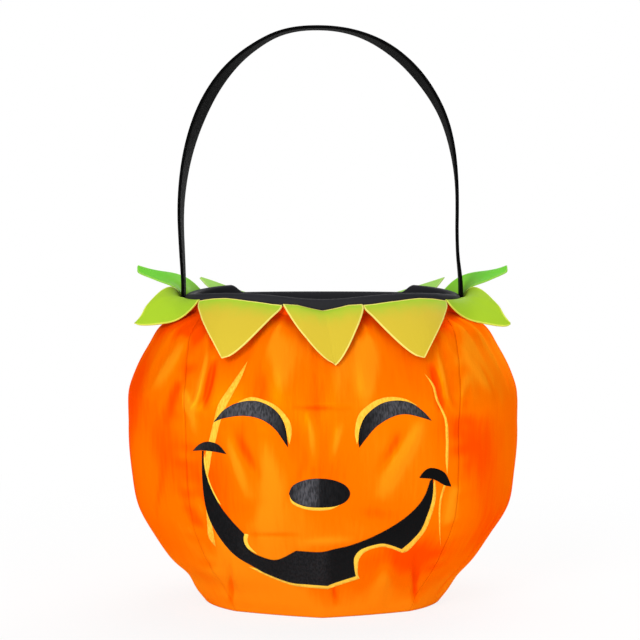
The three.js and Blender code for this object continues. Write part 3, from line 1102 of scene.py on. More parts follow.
@dataclass(frozen=True)
class LeafFinish:
    """Printed leaf cloth: one green at the root running into another at the tip, pale edges."""

    name: str
    root: str
    tip: str
    edge: str
    edge_width: float = 1.0 * MM
    fade: Pair = (0.02, 0.62)
    wander: float = 0.24
    surface: Surface = Surface(
        roughness=0.62, specular=0.15, pitch=0.42 * MM, weave_depth=0.012 * MM,
        ripple_width=7 * MM, ripple_stretch=1.5, ripple_depth=0.12 * MM)

    def make(self) -> bpy.types.Material:
        """Makes the material.

        Returns:
            The material.
        """
        material, nodes, shader = new_material(self.name)
        marks = self.surface.dress(nodes, shader)
        wander = nodes.centred(marks["streaks"], self.wander)
        share = nodes.band(nodes.maths("ADD", nodes.attribute("along"), wander), *self.fade)
        printed = nodes.mix(share, linear(self.root), linear(self.tip))
        line = nodes.band(nodes.attribute("from_edge"), self.edge_width / 2, self.edge_width)
        nodes.join(nodes.mix(line, linear(self.edge), printed), shader, "Base Color")
        return material


@dataclass(frozen=True)
class PlainCloth:
    """Cloth of one dye, with a painted sheen: a little lighter on its raised threads, more so along
    its streaks.
    """

    name: str
    dark: str
    # light is the colour of the painted sheen on the tops of the threads.
    light: str
    surface: Surface = field(default_factory=Surface)

    def make(self) -> bpy.types.Material:
        """Makes the material.

        Returns:
            The material.
        """
        material, nodes, shader = new_material(self.name)
        marks = self.surface.dress(nodes, shader)
        # Painted sheen: the tops of the threads are lighter, more so along the streaks.
        share = nodes.maths("MULTIPLY", marks["threads"], marks["streaks"])
        nodes.join(nodes.mix(share, linear(self.dark), linear(self.light)), shader, "Base Color")
        return material


@dataclass(frozen=True)
class InkFinish:
    """Ink pressed on to satin, with a painted sheen on the black ink and a more orange tone on the
    yellow, broken into specks by the grain of the cloth.
    """

    name: str
    ink: str
    # The colour that the painted sheen mixes towards; on yellow ink, a more orange tone.
    sheen_and_tone_colour: str
    roughness: float = 0.5
    specular: float = 0.06
    grain: float = 1100.0
    grain_depth: float = 0.04 * MM
    stretch: float = 0.22
    specks: Pair = (0.3, 0.7)
    speck_strength: float = 0.7

    def make(self) -> bpy.types.Material:
        """Makes the material.

        Returns:
            The material.
        """
        material, nodes, shader = new_material(self.name)
        place = nodes.add("TexCoord").outputs["Object"]
        drawn = nodes.add("Mapping", {"Vector": place, "Scale": (1, 1, self.stretch)})
        grain = nodes.noise(drawn.outputs[0], self.grain, detail=2.0)
        specks = nodes.maths("MULTIPLY_ADD", nodes.band(grain, *self.specks),
                             self.speck_strength, 1 - self.speck_strength)
        # Painted sheen on the black ink and a more orange tone on the yellow, as much as each
        # point's mark gives.
        share = nodes.maths("MULTIPLY", nodes.attribute("rubbed"), specks)
        nodes.join(nodes.mix(share, linear(self.ink), linear(self.sheen_and_tone_colour)), shader, "Base Color")
        nodes.join(nodes.relief(grain, self.grain_depth), shader, "Normal")
        shader.inputs["Roughness"].default_value = self.roughness
        shader.inputs["Specular IOR Level"].default_value = self.specular
        return material


@dataclass(frozen=True)
class StiffFinish:
    """Board or plastic strip: flecked, and a little uneven."""

    name: str
    body: str
    fleck: str
    roughness: float
    grain: float = 400.0
    grain_depth: float = 0.1 * MM
    grain_strength: float = 0.6
    flecks: Pair = (0.45, 0.75)

    def make(self) -> bpy.types.Material:
        """Makes the material.

        Returns:
            The material.
        """
        material, nodes, shader = new_material(self.name)
        place = nodes.add("TexCoord").outputs["Object"]
        grain = nodes.noise(place, self.grain, detail=4.0)
        share = nodes.band(grain, *self.flecks)
        nodes.join(nodes.mix(share, linear(self.body), linear(self.fleck)), shader, "Base Color")
        normal = nodes.relief(grain, self.grain_depth, self.grain_strength)
        nodes.join(normal, shader, "Normal")
        shader.inputs["Roughness"].default_value = self.roughness
        return material


class Ink(Enum):
    """The two inks, by their height over the cloth: yellow is printed first, black over it."""

    YELLOW = 0.14 * MM
    BLACK = 0.3 * MM


class LeafTone(Enum):
    """Colours of a leaf: root, tip and edge."""

    SUNNY = ("9CC62C", "D0B730", "F0E272")
    LIME = ("92BA24", "A2C624", "D2DE50")
    FRESH = ("84C42E", "6ACA28", "92D444")
    PALE = ("84C648", "98CC5A", "AED66C")


BLACK_SURFACE = Surface(
    roughness=0.6, specular=0.12, pitch=0.7 * MM, weave_depth=0.06 * MM,
    ripple_width=5 * MM, ripple_stretch=4.0, ripple_depth=0.15 * MM)
WEBBING_SURFACE = Surface(
    roughness=0.6, specular=0.012, pitch=1.3 * MM, twill=0.8, weave_depth=0.12 * MM,
    ripple_width=3 * MM, ripple_stretch=6.0, ripple_depth=0.12 * MM)


class Finishes:
    """Every finish of the bag, each made once."""

    def __init__(self) -> None:
        """Makes the node groups and then the materials."""
        weave_group()
        ripple_group()
        self.satin = SatinFinish().make()
        self.leaves = {
            tone: LeafFinish(f"leaf_{tone.name.lower()}", *tone.value).make() for tone in LeafTone}
        # The second colour of each plain cloth is the colour of its painted sheen.
        self.lining = PlainCloth("black_lining", "0C0C0D", "222224", BLACK_SURFACE).make()
        self.binding = PlainCloth("rim_binding", "1C1C20", "303036", BLACK_SURFACE).make()
        self.webbing = PlainCloth("webbing", "030303", "141415", WEBBING_SURFACE).make()
        self.inks = {
            # The second colour of each ink is its painted sheen; on yellow ink it is a more orange
            # tone.
            Ink.BLACK: InkFinish("black_ink", "040405", "626268").make(),
            Ink.YELLOW: InkFinish("yellow_ink", "FFD448", "FFA41E").make()}
        self.thread = StiffFinish(
            "black_thread", "141416", "2E2E32", roughness=0.6, grain=2500.0).make()
        self.board = StiffFinish("base_board", "8A7358", "A08A6C", roughness=0.85).make()
        self.boning = StiffFinish("rim_boning", "DADAD6", "C6C6C0", roughness=0.45).make()


# Shares of a panel's length at the wall's levels 0 to 3, and how much of its cut it fills.
LEVEL_SHARES = (0.0, 0.555, 0.96, 1.0)


@dataclass
class BagBody:
    """The outer bag: four satin panels and the base panel."""

    drape: Drape
    finishes: Finishes
    cell: float = 1.3 * MM
    thickness: float = 0.8 * MM
    seam_gap: float = 0.02 * MM
    wall_length: float = 226 * MM
    face_width: float = 178 * MM
    side_width: float = 158 * MM
    base_cut: Pair = (148 * MM, 118 * MM)
    base_inset: float = 1.5 * MM
    base_slack: float = 1.2 * MM
    panels: dict[Side, bpy.types.Object] = field(default_factory=dict)

    def make(self) -> None:
        """Makes the panels and the base."""
        for side in Side:
            self.panels[side] = self._panel(side)
        self._base()

    def _panel(self, side: Side) -> bpy.types.Object:
        """Makes one upright panel.

        Args:
            side: Which of the four it is.

        Returns:
            The panel.
        """
        width = side.width(self.face_width, self.side_width)
        cells = (round(width / self.cell / 2) * 2, round(self.wall_length / self.cell))
        wall = self.drape.wall

        def spot(across: Array, along: Array) -> tuple[Array, Array]:
            """Finds places on the wall.

            Args:
                across: Shares of the panel's width.
                along: Shares of its length.

            Returns:
                Polar angles and levels.
            """
            level = panel_level(along)
            inset = self.seam_gap / 2 / width
            return side.angles(wall.seam_at(level), lerp(inset, 1 - inset, across)), level

        # The relief mark carries the painted tone: painted shade and highlight that colour the
        # satin.
        mesh = cloth_grid(
            f"{side.value}_satin", cells, lambda u, v: self.drape.surface(*spot(u, v), 0.0),
            (width, self.wall_length), {"relief": lambda u, v: self.drape.tone(*spot(u, v))})
        panel = mesh_piece(f"{side.value}_satin", mesh)
        thicken(panel, self.thickness)
        settle(panel, self.finishes.satin, f"{side.value}_panel")
        LOG.info("panel %s: %d by %d cells", side.value, *cells)
        return panel

    def _base(self) -> None:
        """Makes the oval base, a little slack in its middle."""
        mesh = floor_disc(
            "base_satin", self.drape.wall, 0.0, self.base_inset, self.base_cut, self.base_slack)
        base = mesh_piece("base_satin", mesh)
        thicken(base, -self.thickness)
        settle(base, self.finishes.satin, "base_panel")
        LOG.info("base panel")


def panel_level(along: Array) -> Array:
    """Returns the wall's level at a share of a panel's length, near enough even in size."""
    return np.interp(along, LEVEL_SHARES, range(len(LEVEL_SHARES)))


def floor_disc(name: str, wall: Wall, height: float, inset: float, cut: Pair, slack: float = 0.0,
               cells: tuple[int, int] = (120, 22)) -> bpy.types.Mesh:
    """An oval sheet inside the foot of the wall.

    Args:
        name: Name of the mesh.
        wall: The wall that it fits.
        height: Height above the ground.
        inset: Distance in from the wall's outer face.
        cut: Width and depth of the cloth.
        slack: How far its middle rises.
        cells: Cells round the oval, and from its middle to its edge.

    Returns:
        The mesh, facing up.
    """

    def place(across: Array, along: Array) -> Array:
        """Points of the sheet.

        Args:
            across: Shares round it.
            along: Shares from middle to edge.

        Returns:
            One point to a row.
        """
        angle = -2 * math.pi * across
        rim = wall.point(angle, np.full(angle.shape, wall.foot_level(height)))
        reach = 1 - inset / np.hypot(rim[:, 0], rim[:, 1])
        share = along * reach
        lift = height + slack * (1 - along**2) ** 2
        return np.column_stack((rim[:, 0] * share, rim[:, 1] * share, lift))

    mesh = cloth_grid(name, cells, place, cut, {"relief": lambda u, v: 0 * u})
    shape = bmesh.new()
    shape.from_mesh(mesh)
    bmesh.ops.remove_doubles(shape, verts=shape.verts, dist=TOUCHING)
    layout = shape.loops.layers.uv["Cloth"]
    for face in shape.faces:
        for corner in face.loops:
            corner[layout].uv = corner.vert.co.xy
    shape.to_mesh(mesh)
    shape.free()
    return mesh


@dataclass
class Lining:
    """The black lining: four panels and a floor, just inside the satin."""

    drape: Drape
    finishes: Finishes
    depth: float = 1.7 * MM
    rim_extra: float = 1.1 * MM
    rim_levels: Pair = (1.6, 2.0)
    thickness: float = 0.5 * MM
    bottom: float = 3.9 * MM
    floor_inset: float = 2.3 * MM
    fold_share: float = 0.8
    cells: tuple[int, int] = (60, 84)
    satin_length: float = BagBody.wall_length
    wall_length: float = 220 * MM
    face_width: float = 172 * MM
    side_width: float = 152 * MM
    floor_cut: Pair = (146 * MM, 115 * MM)

    def make(self) -> None:
        """Makes the lining's pieces."""
        for side in Side:
            self._panel(side)
        mesh = floor_disc(
            "lining_floor", self.drape.wall, self.bottom, self.floor_inset, self.floor_cut)
        floor = mesh_piece("lining_floor", mesh)
        thicken(floor, -self.thickness)
        self._finish(floor, "lining_base")

    def _panel(self, side: Side) -> None:
        """Makes one upright panel of the lining.

        Args:
            side: Which of the four it is.
        """
        width = side.width(self.face_width, self.side_width)
        wall = self.drape.wall
        start = self.bottom / self.satin_length

        def place(across: Array, along: Array) -> Array:
            """Points of the panel, turned to face inwards.

            Args:
                across: Shares of its width.
                along: Shares of its length.

            Returns:
                One point to a row.
            """
            level = panel_level(lerp(start, 1.0, along))
            angle = side.angles(wall.seam_at(level), 1 - across)
            extra = self.rim_extra * smoothstep(level, *self.rim_levels)
            depth = self.depth + self.thickness + extra
            return self.drape.surface(angle, level, depth, self.fold_share)

        mesh = cloth_grid(f"{side.value}_lining", self.cells, place, (width, self.wall_length))
        panel = mesh_piece(f"{side.value}_lining", mesh)
        thicken(panel, self.thickness)
        self._finish(panel, f"lining_{side.value}")

    def _finish(self, piece: bpy.types.Object, node: str) -> None:
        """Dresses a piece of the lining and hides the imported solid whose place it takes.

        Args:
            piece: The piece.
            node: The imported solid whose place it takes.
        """
        settle(piece, self.finishes.lining, node)
        LOG.info("lining piece %s", piece.name)


@dataclass
class RimTape:
    """The binding folded over the top edge, with the boning strip inside it.

    The outer leg's depths below the top are in millimetres, at distances round the rim from the
    middle of the front.
    """

    rim: Rim
    finishes: Finishes
    height: float = 10 * MM
    width: float = 5.2 * MM
    leg: float = 0.7 * MM
    inside: float = 1.0 * MM
    round_top: float = 2.4 * MM
    arch_steps: int = 8
    arch_power: float = 0.7
    outer_steps: tuple[float, ...] = (1.0, 0.8, 0.6)
    inner_steps: tuple[float, ...] = (0.5, 0.75, 1.0)
    wobble: float = 0.12 * MM
    wobbles_round: tuple[int, int] = (23, 37)
    edge_at: tuple[float, ...] = (0, 12, 23.5, 45, 79, 100, 117, 150, 236)
    edge_below: tuple[float, ...] = (8.6, 6.6, 5.6, 5.2, 4.9, 5.2, 5.8, 8.0, 10.0)
    segments: int = 420

    def outline(self) -> list[Pair]:
        """The tape's section once round.

        Returns:
            Distances out from its outer face and up from its top.
        """
        mid = self.width / 2
        outer = [(0.0, -self.height * share) for share in self.outer_steps]
        arch = []
        for step in range(self.arch_steps + 1):
            turn = math.pi * step / self.arch_steps
            across = abs(math.cos(turn)) ** self.arch_power * math.copysign(mid, math.cos(turn))
            rise = math.sin(turn) ** self.arch_power - 1
            arch.append((across - mid, self.round_top * rise))
        inner = [(-self.width, -self.height * share) for share in self.inner_steps]
        hollow = [(self.leg - self.width, -self.height), (self.leg - self.width, -self.inside),
                  (-self.leg, -self.inside), (-self.leg, -self.height)]
        return [*outer, *arch, *inner, *hollow]

    def make(self) -> None:
        """Makes the tape, with soft unevenness round its length."""
        section = self.outline()
        outline = np.array([*section, section[0]])

        def place(across: Array, along: Array) -> Array:
            """Points of the tape.

            Args:
                across: Shares round its section.
                along: Shares round the rim.

            Returns:
                One point to a row.
            """
            out, up = outline[np.rint(across * (len(outline) - 1)).astype(int)].T
            length = along * self.rim.length()
            angle = self.rim.angle_at(length)
            outer_leg = out >= -self.leg
            shorter = self.rim.depth_at(length, self.edge_at, self.edge_below) / self.height
            rise = np.where(outer_leg & (up <= -self.round_top), up * shorter, up)
            slow, quick = (np.sin(turns * angle + shift)
                           for turns, shift in zip(self.wobbles_round, (1, 0)))
            edge = np.clip(-up / self.height, 0, 1)
            wobble = self.wobble * (slow + quick) * edge * outer_leg
            return self.rim.point(angle, out + wobble, rise)

        cut = (2 * self.height + self.width, self.rim.length())
        mesh = cloth_grid("rim_tape", (len(outline) - 1, self.segments), place, cut)
        close_seams(mesh)
        tape = mesh_piece("rim_tape", mesh)
        settle(tape, self.finishes.binding, "rim_binding")
        LOG.info("rim binding")


@dataclass
class Stitches:
    """Rows of thread: one round the inside of the binding, and one on each strap end."""

    rim: Rim
    finishes: Finishes
    pitch: float = 3.3 * MM
    length: float = 2.1 * MM
    thread: float = 0.45 * MM
    above_edge: float = 1.9 * MM
    proud: float = 0.05 * MM
    ahead: float = 0.01
    strap_x: float = 87.1 * MM
    strap_box: tuple[Pair, Pair] = ((-7 * MM, 7 * MM), (182.5 * MM, 189.5 * MM))

    def make(self, tape: RimTape) -> None:
        """Makes both pieces of stitching.

        Args:
            tape: The binding.
        """
        inside = self._round_rim(-tape.width - self.proud, self.above_edge - tape.height)
        self._piece("binding_stitches", inside)
        self._piece("strap_stitches", [s for side in (-1, 1) for s in self._strap_end(side)])

    def _round_rim(self, out: float, up: float) -> list[tuple[Vector, Vector]]:
        """Stitches round the binding.

        Args:
            out: Distance out from its outer face.
            up: Height above its top.

        Returns:
            Places and directions.
        """
        count = round(self.rim.length() / self.pitch)
        angles = self.rim.angle_at(np.arange(count) * self.rim.length() / count)
        places = self.rim.point(angles, out, up)
        ahead = self.rim.point(angles + self.ahead, out, up)
        return [(Vector(a), Vector(b - a)) for a, b in zip(places, ahead)]

    def _strap_end(self, side: int) -> list[tuple[Vector, Vector]]:
        """Stitches in a box on a strap end.

        Args:
            side: -1 for the left end and 1 for the right one.

        Returns:
            Places and directions.
        """
        (left, right), (low, high) = self.strap_box
        corners = [(left, low), (right, low), (right, high), (left, high), (left, low)]
        spots = []
        for (y0, z0), (y1, z1) in zip(corners, corners[1:]):
            count = max(2, round(math.hypot(y1 - y0, z1 - z0) / self.pitch))
            along = Vector((0, y1 - y0, z1 - z0))
            for step in range(count):
                share = (step + 0.5) / count
                spot = Vector((side * self.strap_x, lerp(y0, y1, share), lerp(z0, z1, share)))
                spots.append((spot, along))
        return spots

    def _piece(self, name: str, spots: list[tuple[Vector, Vector]]) -> None:
        """Makes one piece of stitching.

        Args:
            name: Name of the piece.
            spots: Places and directions.
        """
        body = bmesh.new()
        size = Matrix.Diagonal((self.length / 2, self.thread / 2, self.thread / 2, 1))
        for place, along in spots:
            turn = along.to_track_quat("X", "Z").to_matrix().to_4x4()
            bmesh.ops.create_icosphere(body, subdivisions=1, radius=1,
                                       matrix=Matrix.Translation(place) @ turn @ size)
        piece = mesh_piece(name, mesh_from(name, body))
        piece.data.materials.append(self.finishes.thread)
        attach(piece, BAG)
        LOG.info("%s: %d", name, len(spots))


BEND_STEPS = 30


@dataclass(frozen=True)
class Leaf:
    """One leaf of the collar, in millimetres.

    Lengths run round the rim from the middle of the front, positive to the right. An edge is
    full where its first number is large, and blunt at the tip where its second is small.
    """

    node: str
    span: Pair
    bend: tuple[Pair, Pair, Pair]
    lean: float
    roll: float
    low_edge: Pair
    high_edge: Pair
    tone: LeafTone

    def mirrored(self) -> "Leaf":
        """The same leaf on the right side.

        Returns:
            The leaf.
        """
        node = self.node.replace("left", "right")
        span = (-self.span[1], -self.span[0])
        return Leaf(node, span, self.bend, -self.lean, -self.roll, self.high_edge,
                    self.low_edge, self.tone)

    def run(self, share: Array) -> Array:
        """Measures along the leaf's bend.

        Args:
            share: Places on it, from 0 at the root to 1 at the tip.

        Returns:
            Distances from the root, in millimetres.
        """
        steps = np.linspace(0, 1, BEND_STEPS)
        across, up = bezier(((0.0, 0.0), *self.bend), steps)
        lengths = np.hypot(np.diff(across), np.diff(up))
        return np.interp(share, steps, np.append(0, np.cumsum(lengths)))

    def reach(self) -> float:
        """Returns the leaf's length along its bend, in millimetres."""
        return float(self.run(np.ones(1))[0])


FRONT_LEAF = Leaf("leaf_front_centre", (-23.5, 23.5), ((1.5, -0.5), (14, -11), (25.5, -29)),
                  7, 0, (2.2, 0.65), (2.0, 0.8), LeafTone.SUNNY)
BACK_LEAF = Leaf("leaf_back_centre", (212.4, 258.9), ((1.5, -0.5), (14, -11), (25, -28)),
                 0, 0, (2.0, 0.8), (2.0, 0.8), LeafTone.SUNNY)
LEFT_LEAVES = (
    Leaf("leaf_front_left", (-79, -23.9), ((0.2, -3.3), (14, -8), (29, -32)),
         2.5, 0, (2.2, 1.0), (1.8, 0.6), LeafTone.SUNNY),
    Leaf("leaf_side_left", (-121, -79.4), ((-1, 4.2), (20, -4.5), (31, -13.6)),
         -1.5, -41, (2.2, 2.1), (1.6, 0.72), LeafTone.LIME),
    Leaf("leaf_back_side_left", (-154, -121.4), ((2, 16.8), (23, 14.5), (36, 20)),
         -0.3, -17, (0.6, 1.3), (1.9, 0.6), LeafTone.FRESH),
    Leaf("leaf_back_left", (-212, -154.4), ((0.6, 1.5), (11.8, 1.5), (28.5, 14.6)),
         19.4, 0, (2.3, 0.9), (0.8, 1.4), LeafTone.PALE),
)
LEAVES = (FRONT_LEAF, *LEFT_LEAVES, BACK_LEAF, *(leaf.mirrored() for leaf in LEFT_LEAVES))


@dataclass
class LeafCollar:
    """Ten double leaves sewn round the outside of the binding.

    The roots' depths below its top are given as for the tape. Past the share straight_by of its
    length a leaf no longer turns with the rim, and past rolled_by it is rolled in full.
    """

    rim: Rim
    finishes: Finishes
    thickness: float = 0.8 * MM
    tip: float = 0.4 * MM
    stand_off: float = 0.4 * MM
    over_strap: float = 2.5 * MM
    strap_half_width: float = 9 * MM
    strap_slope: Pair = (3 * MM, 9 * MM)
    band: float = 0.07
    root_at: tuple[float, ...] = (0, 7, 15, 30, 45, 58, 68, 82, 100, 117, 150, 236)
    root_below: tuple[float, ...] = (7.4, 6.2, 4.8, 5.2, 4.4, 3.2, 3.4, 4.5, 4.0, 4.0, 6.0, 8.0)
    straight_by: float = 0.5
    rolled_by: float = 0.6
    lean_power: float = 1.3
    puff: float = 0.9 * MM
    puff_out: float = 0.7
    puff_up: float = 0.6
    wave: float = 0.5 * MM
    wave_rate: float = 7
    wave_shift: float = 0.1
    edge_slant: float = 0.8
    cells: tuple[int, int] = (40, 44)
    area_steps: int = 60

    def make(self) -> None:
        """Makes every leaf."""
        for leaf in LEAVES:
            self._leaf(leaf)

    def _stand_off(self, length: Array) -> Array:
        """How far a root stands off the binding, more over a strap end.

        Args:
            length: Lengths round the rim from the middle of the front.

        Returns:
            Distances.
        """
        half = self.rim.length() / 2
        from_strap = (length - half / 2) % half
        distance = np.minimum(from_strap, half - from_strap)
        low, high = (self.strap_half_width + slope for slope in self.strap_slope)
        return self.stand_off + self.over_strap * (1 - smoothstep(distance, low, high))

    def _root(self, length: Array) -> Array:
        """Returns the height of the roots over the binding's top, at lengths round the rim."""
        return -self.rim.depth_at(length, self.root_at, self.root_below)

    def _half_width(self, leaf: Leaf, across: Array, along: Array) -> Array:
        """Half the width of a leaf, full through the band at its root.

        Args:
            leaf: The leaf.
            across: Places across it, from -1 to 1.
            along: Shares from its root to its tip.

        Returns:
            Half widths.
        """
        share = np.clip((along - self.band) / (1 - self.band), 0, 1)
        full = np.where(across < 0, leaf.low_edge[0], leaf.high_edge[0])
        blunt = np.where(across < 0, leaf.low_edge[1], leaf.high_edge[1])
        half = (leaf.span[1] - leaf.span[0]) / 2 * MM
        return (half - self.tip) * (1 - share**full) ** blunt + self.tip

    def _points(self, leaf: Leaf, across: Array, along: Array) -> Array:
        """Points of a leaf's outer face.

        Args:
            leaf: The leaf.
            across: Places across it, from -1 to 1.
            along: Shares from its root to its tip.

        Returns:
            One point to a row.
        """
        centre = (leaf.span[0] + leaf.span[1]) / 2 * MM
        middle = self.rim.angle_at(np.array([centre]))
        sideshift = across * self._half_width(leaf, across, along)
        length = centre + sideshift
        angle = self.rim.angle_at(length)
        out, up = bezier(((0.0, 0.0), *leaf.bend), along)
        root = self.rim.point(angle, self._stand_off(length), self._root(length))
        turn = smoothstep(along, 0, self.straight_by)[:, None]
        outward = unit(lerp(self.rim.normal(angle), self.rim.normal(middle), turn))
        sideways = np.stack((-outward[:, 1], outward[:, 0]), axis=1)
        roll = math.radians(leaf.roll) * smoothstep(along, 0, self.rolled_by)
        shift = leaf.lean * MM * along**self.lean_power - sideshift * (1 - np.cos(roll))
        puff = self.puff * np.sin(math.pi * along) * (1 - across**2)
        wave = np.sin(self.wave_rate * along + self.wave_shift * leaf.span[0])
        wave *= self.wave * across * along
        plan = outward * (out * MM + self.puff_out * puff)[:, None] + sideways * shift[:, None]
        rise = up * MM + sideshift * np.sin(roll) + self.puff_up * puff + wave
        return root + np.column_stack((plan, rise))

    def _from_edge(self, leaf: Leaf, across: Array, along: Array) -> Array:
        """How far places lie from the nearest cut edge of a leaf.

        Args:
            leaf: The leaf.
            across: Places across it, from -1 to 1.
            along: Shares from its root to its tip.

        Returns:
            Distances.
        """
        side = (1 - np.abs(across)) * self._half_width(leaf, across, along)
        side = np.where(along < self.band, np.inf, side * self.edge_slant)
        return np.minimum(side, leaf.run(along) * MM)

    def _leaf(self, leaf: Leaf) -> None:
        """Makes one leaf.

        Args:
            leaf: The leaf.
        """
        cut = ((leaf.span[1] - leaf.span[0]) * MM, round(leaf.reach()) * MM)
        mesh = cloth_grid(
            f"{leaf.node}_cloth", self.cells,
            lambda u, v: self._points(leaf, 2 * u - 1, v), cut,
            {"along": lambda u, v: v,
             "from_edge": lambda u, v: self._from_edge(leaf, 2 * u - 1, v)})
        piece = mesh_piece(f"{leaf.node}_cloth", mesh)
        thicken(piece, self.thickness)
        settle(piece, self.finishes.leaves[leaf.tone], leaf.node)
        LOG.info("leaf %s", leaf.node)


@dataclass
class CarryStrap:
    """The black strap: one ribbon from its left sewn end over the top to its right one."""

    rim: Rim
    finishes: Finishes
    width: float = 18 * MM
    thickness: float = 1.8 * MM
    clearance: float = 0.3 * MM
    half_width: float = 86.4 * MM
    spring: float = 236 * MM
    rise: float = 118 * MM
    squareness: float = 2.2
    bottom: float = 181 * MM
    fold: float = 200.4 * MM
    edge_round: float = 0.5 * MM
    blend: Pair = (190 * MM, 211 * MM)
    sway_at: tuple[float, ...] = (200, 212, 236, 300, 345, 354)
    left_sway: tuple[float, ...] = (0, -0.6, -1.5, -0.2, 0, -3.5)
    right_sway: tuple[float, ...] = (-0.4, -2.5, -3.3, -0.8, -3.2, -3.5)
    twist_at: tuple[float, ...] = (200, 212, 236, 262, 285, 305, 325, 342, 354)
    left_twist: tuple[float, ...] = (0, -2, -3, -7.5, -13, -17, -14, -6, 0)
    right_twist: tuple[float, ...] = (0, 3, 3, 2.5, -4, -8, -13, -10, 0)
    easing: int = 9
    sewn_steps: int = 14
    upright_steps: int = 24
    arch_steps: int = 190
    face_steps: int = 12
    stitch_line: float = 7.2 * MM
    stitch_width: float = 0.8 * MM
    stitch_press: float = 0.12

    def path(self) -> Array:
        """The strap's middle line.

        Returns:
            Rows of X and Z.
        """
        leg = self.rim.half_width + self.clearance + self.thickness / 2
        low = np.linspace(self.bottom, self.fold, self.sewn_steps)[:-1]
        sewn = np.column_stack((np.full(low.shape, -leg), low))
        share = np.linspace(0, 1, self.upright_steps)[:-1]
        upright = np.column_stack(
            (lerp(-leg, -self.half_width, share), lerp(self.fold, self.spring, share)))
        turn = np.linspace(math.pi, 0, self.arch_steps)
        power = 2 / self.squareness
        arch = np.column_stack((
            self.half_width * np.sign(np.cos(turn)) * np.abs(np.cos(turn)) ** power,
            self.spring + self.rise * np.sin(turn) ** power))
        left = np.vstack((sewn, upright))
        line = np.vstack((left, arch, (left * (-1, 1))[::-1]))
        line[:, 0] += self._eased(line, self.sway_at, self.left_sway, self.right_sway) * MM
        return line

    def _eased(self, line: Array, heights: Sequence[float], left: Sequence[float],
               right: Sequence[float]) -> Array:
        """Values given by height on each side, eased along the strap.

        Args:
            line: The middle line.
            heights: Heights of the given values, in millimetres.
            left: Values on the left side.
            right: Values on the right side.

        Returns:
            One value for each point of the line.
        """
        height = line[:, 1] / MM
        values = np.where(line[:, 0] < 0, np.interp(height, heights, left),
                          np.interp(height, heights, right))
        spread = np.pad(values, self.easing, mode="edge")
        window = np.hanning(2 * self.easing + 3)[1:-1]
        return np.convolve(spread, window / window.sum(), mode="valid")

    def twist(self, line: Array) -> Array:
        """Returns how far the strap turns towards the face side along its length."""
        return np.radians(self._eased(line, self.twist_at, self.left_twist, self.right_twist))

    def section(self) -> list[Pair]:
        """The strap's flat section once round.

        Returns:
            Distances across it and through its thickness.
        """
        half, thick, ease = self.width / 2, self.thickness / 2, self.edge_round
        flat = self.width - 2 * ease
        face = [half - ease - flat * step / self.face_steps for step in range(self.face_steps + 1)]
        upper = [(half, thick - ease), *((x, thick) for x in face), (-half, thick - ease)]
        lower = [(-half, ease - thick), *((-x, -thick) for x in face), (half, ease - thick)]
        return [*upper, *lower, upper[0]]

    def make(self) -> None:
        """Makes the strap: the section is swept along the middle line, turning as it goes."""
        line = self.path()
        steps = np.linalg.norm(np.diff(line, axis=0), axis=1)
        along = np.gradient(line, axis=0)
        along = unit(np.column_stack((along[:, 0], np.zeros(len(line)), along[:, 1])))
        twist = self.twist(line)[:, None]
        wide = np.array([[0.0, 1.0, 0.0]])
        cross = np.cross(along, wide)
        wide_at = wide * np.cos(twist) + cross * np.sin(twist)
        thin_at = np.cross(along, wide_at)
        middle = np.column_stack((line[:, 0], np.zeros(len(line)), line[:, 1]))
        outline = np.array(self.section())

        def place(across: Array, share: Array) -> Array:
            """Points of the strap.

            Args:
                across: Shares round its section.
                share: Shares of its length.

            Returns:
                One point to a row.
            """
            row = np.rint(share * (len(line) - 1)).astype(int)
            spot = np.rint(across * (len(outline) - 1)).astype(int)
            stitch = np.abs(outline[spot, 0]) - self.stitch_line
            press = 1 - self.stitch_press * bump(stitch, self.stitch_width)
            return (middle[row] + wide_at[row] * outline[spot, :1]
                    + thin_at[row] * (outline[spot, 1] * press)[:, None])

        cut = (2 * (self.width + self.thickness), float(steps.sum()))
        mesh = cloth_grid("carry_strap", (len(outline) - 1, len(line) - 1), place, cut)
        close_seams(mesh, cap=True)
        strap = mesh_piece("carry_strap", mesh)
        strap.data.materials.append(self.finishes.webbing)
        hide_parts("handle_strap", "strap_end_left", "strap_end_right")
        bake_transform(strap)
        LOG.info("carry strap: %.0f mm long", cut[1] / MM)


@dataclass(frozen=True)
class Stroke:
    """A smooth line through its points on the drawing sheet, in millimetres."""

    points: tuple[Pair, ...]

    def drawn(self, pitch: float) -> list[Pair]:
        """Places along the line, without its last one.

        Args:
            pitch: About how far apart they are.

        Returns:
            The places.
        """
        line: list[Pair] = []
        last = len(self.points) - 1
        for place in range(last):
            a, b, c, d = (
                np.array(self.points[min(max(place + step, 0), last)]) for step in (-1, 0, 1, 2))
            count = max(1, round(float(np.linalg.norm(c - b)) / pitch))
            for step in range(count):
                t = step / count
                spot = 0.5 * (2 * b + (c - a) * t + (2 * a - 5 * b + 4 * c - d) * t**2
                              + (3 * b - a - 3 * c + d) * t**3)
                line.append((float(spot[0]), float(spot[1])))
        return line


@dataclass(frozen=True)
class PrintShape:
    """One printed shape of the face, bounded by strokes that meet at corners."""

    name: str
    ink: Ink
    strokes: tuple[Stroke, ...]

    def outline(self, pitch: float) -> list[Pair]:
        """Returns the closed outline."""
        return [spot for stroke in self.strokes for spot in stroke.drawn(pitch)]

    def rubbed(self, across: float) -> float:
        """Returns how much painted sheen the ink has at a place across the face; for yellow ink,
        how much more orange it is.
        """
        marks = INK_SHEEN_AND_TONE.get(self.name, ((0, 0.0),))
        return float(np.interp(across, [m[0] for m in marks], [m[1] for m in marks]))


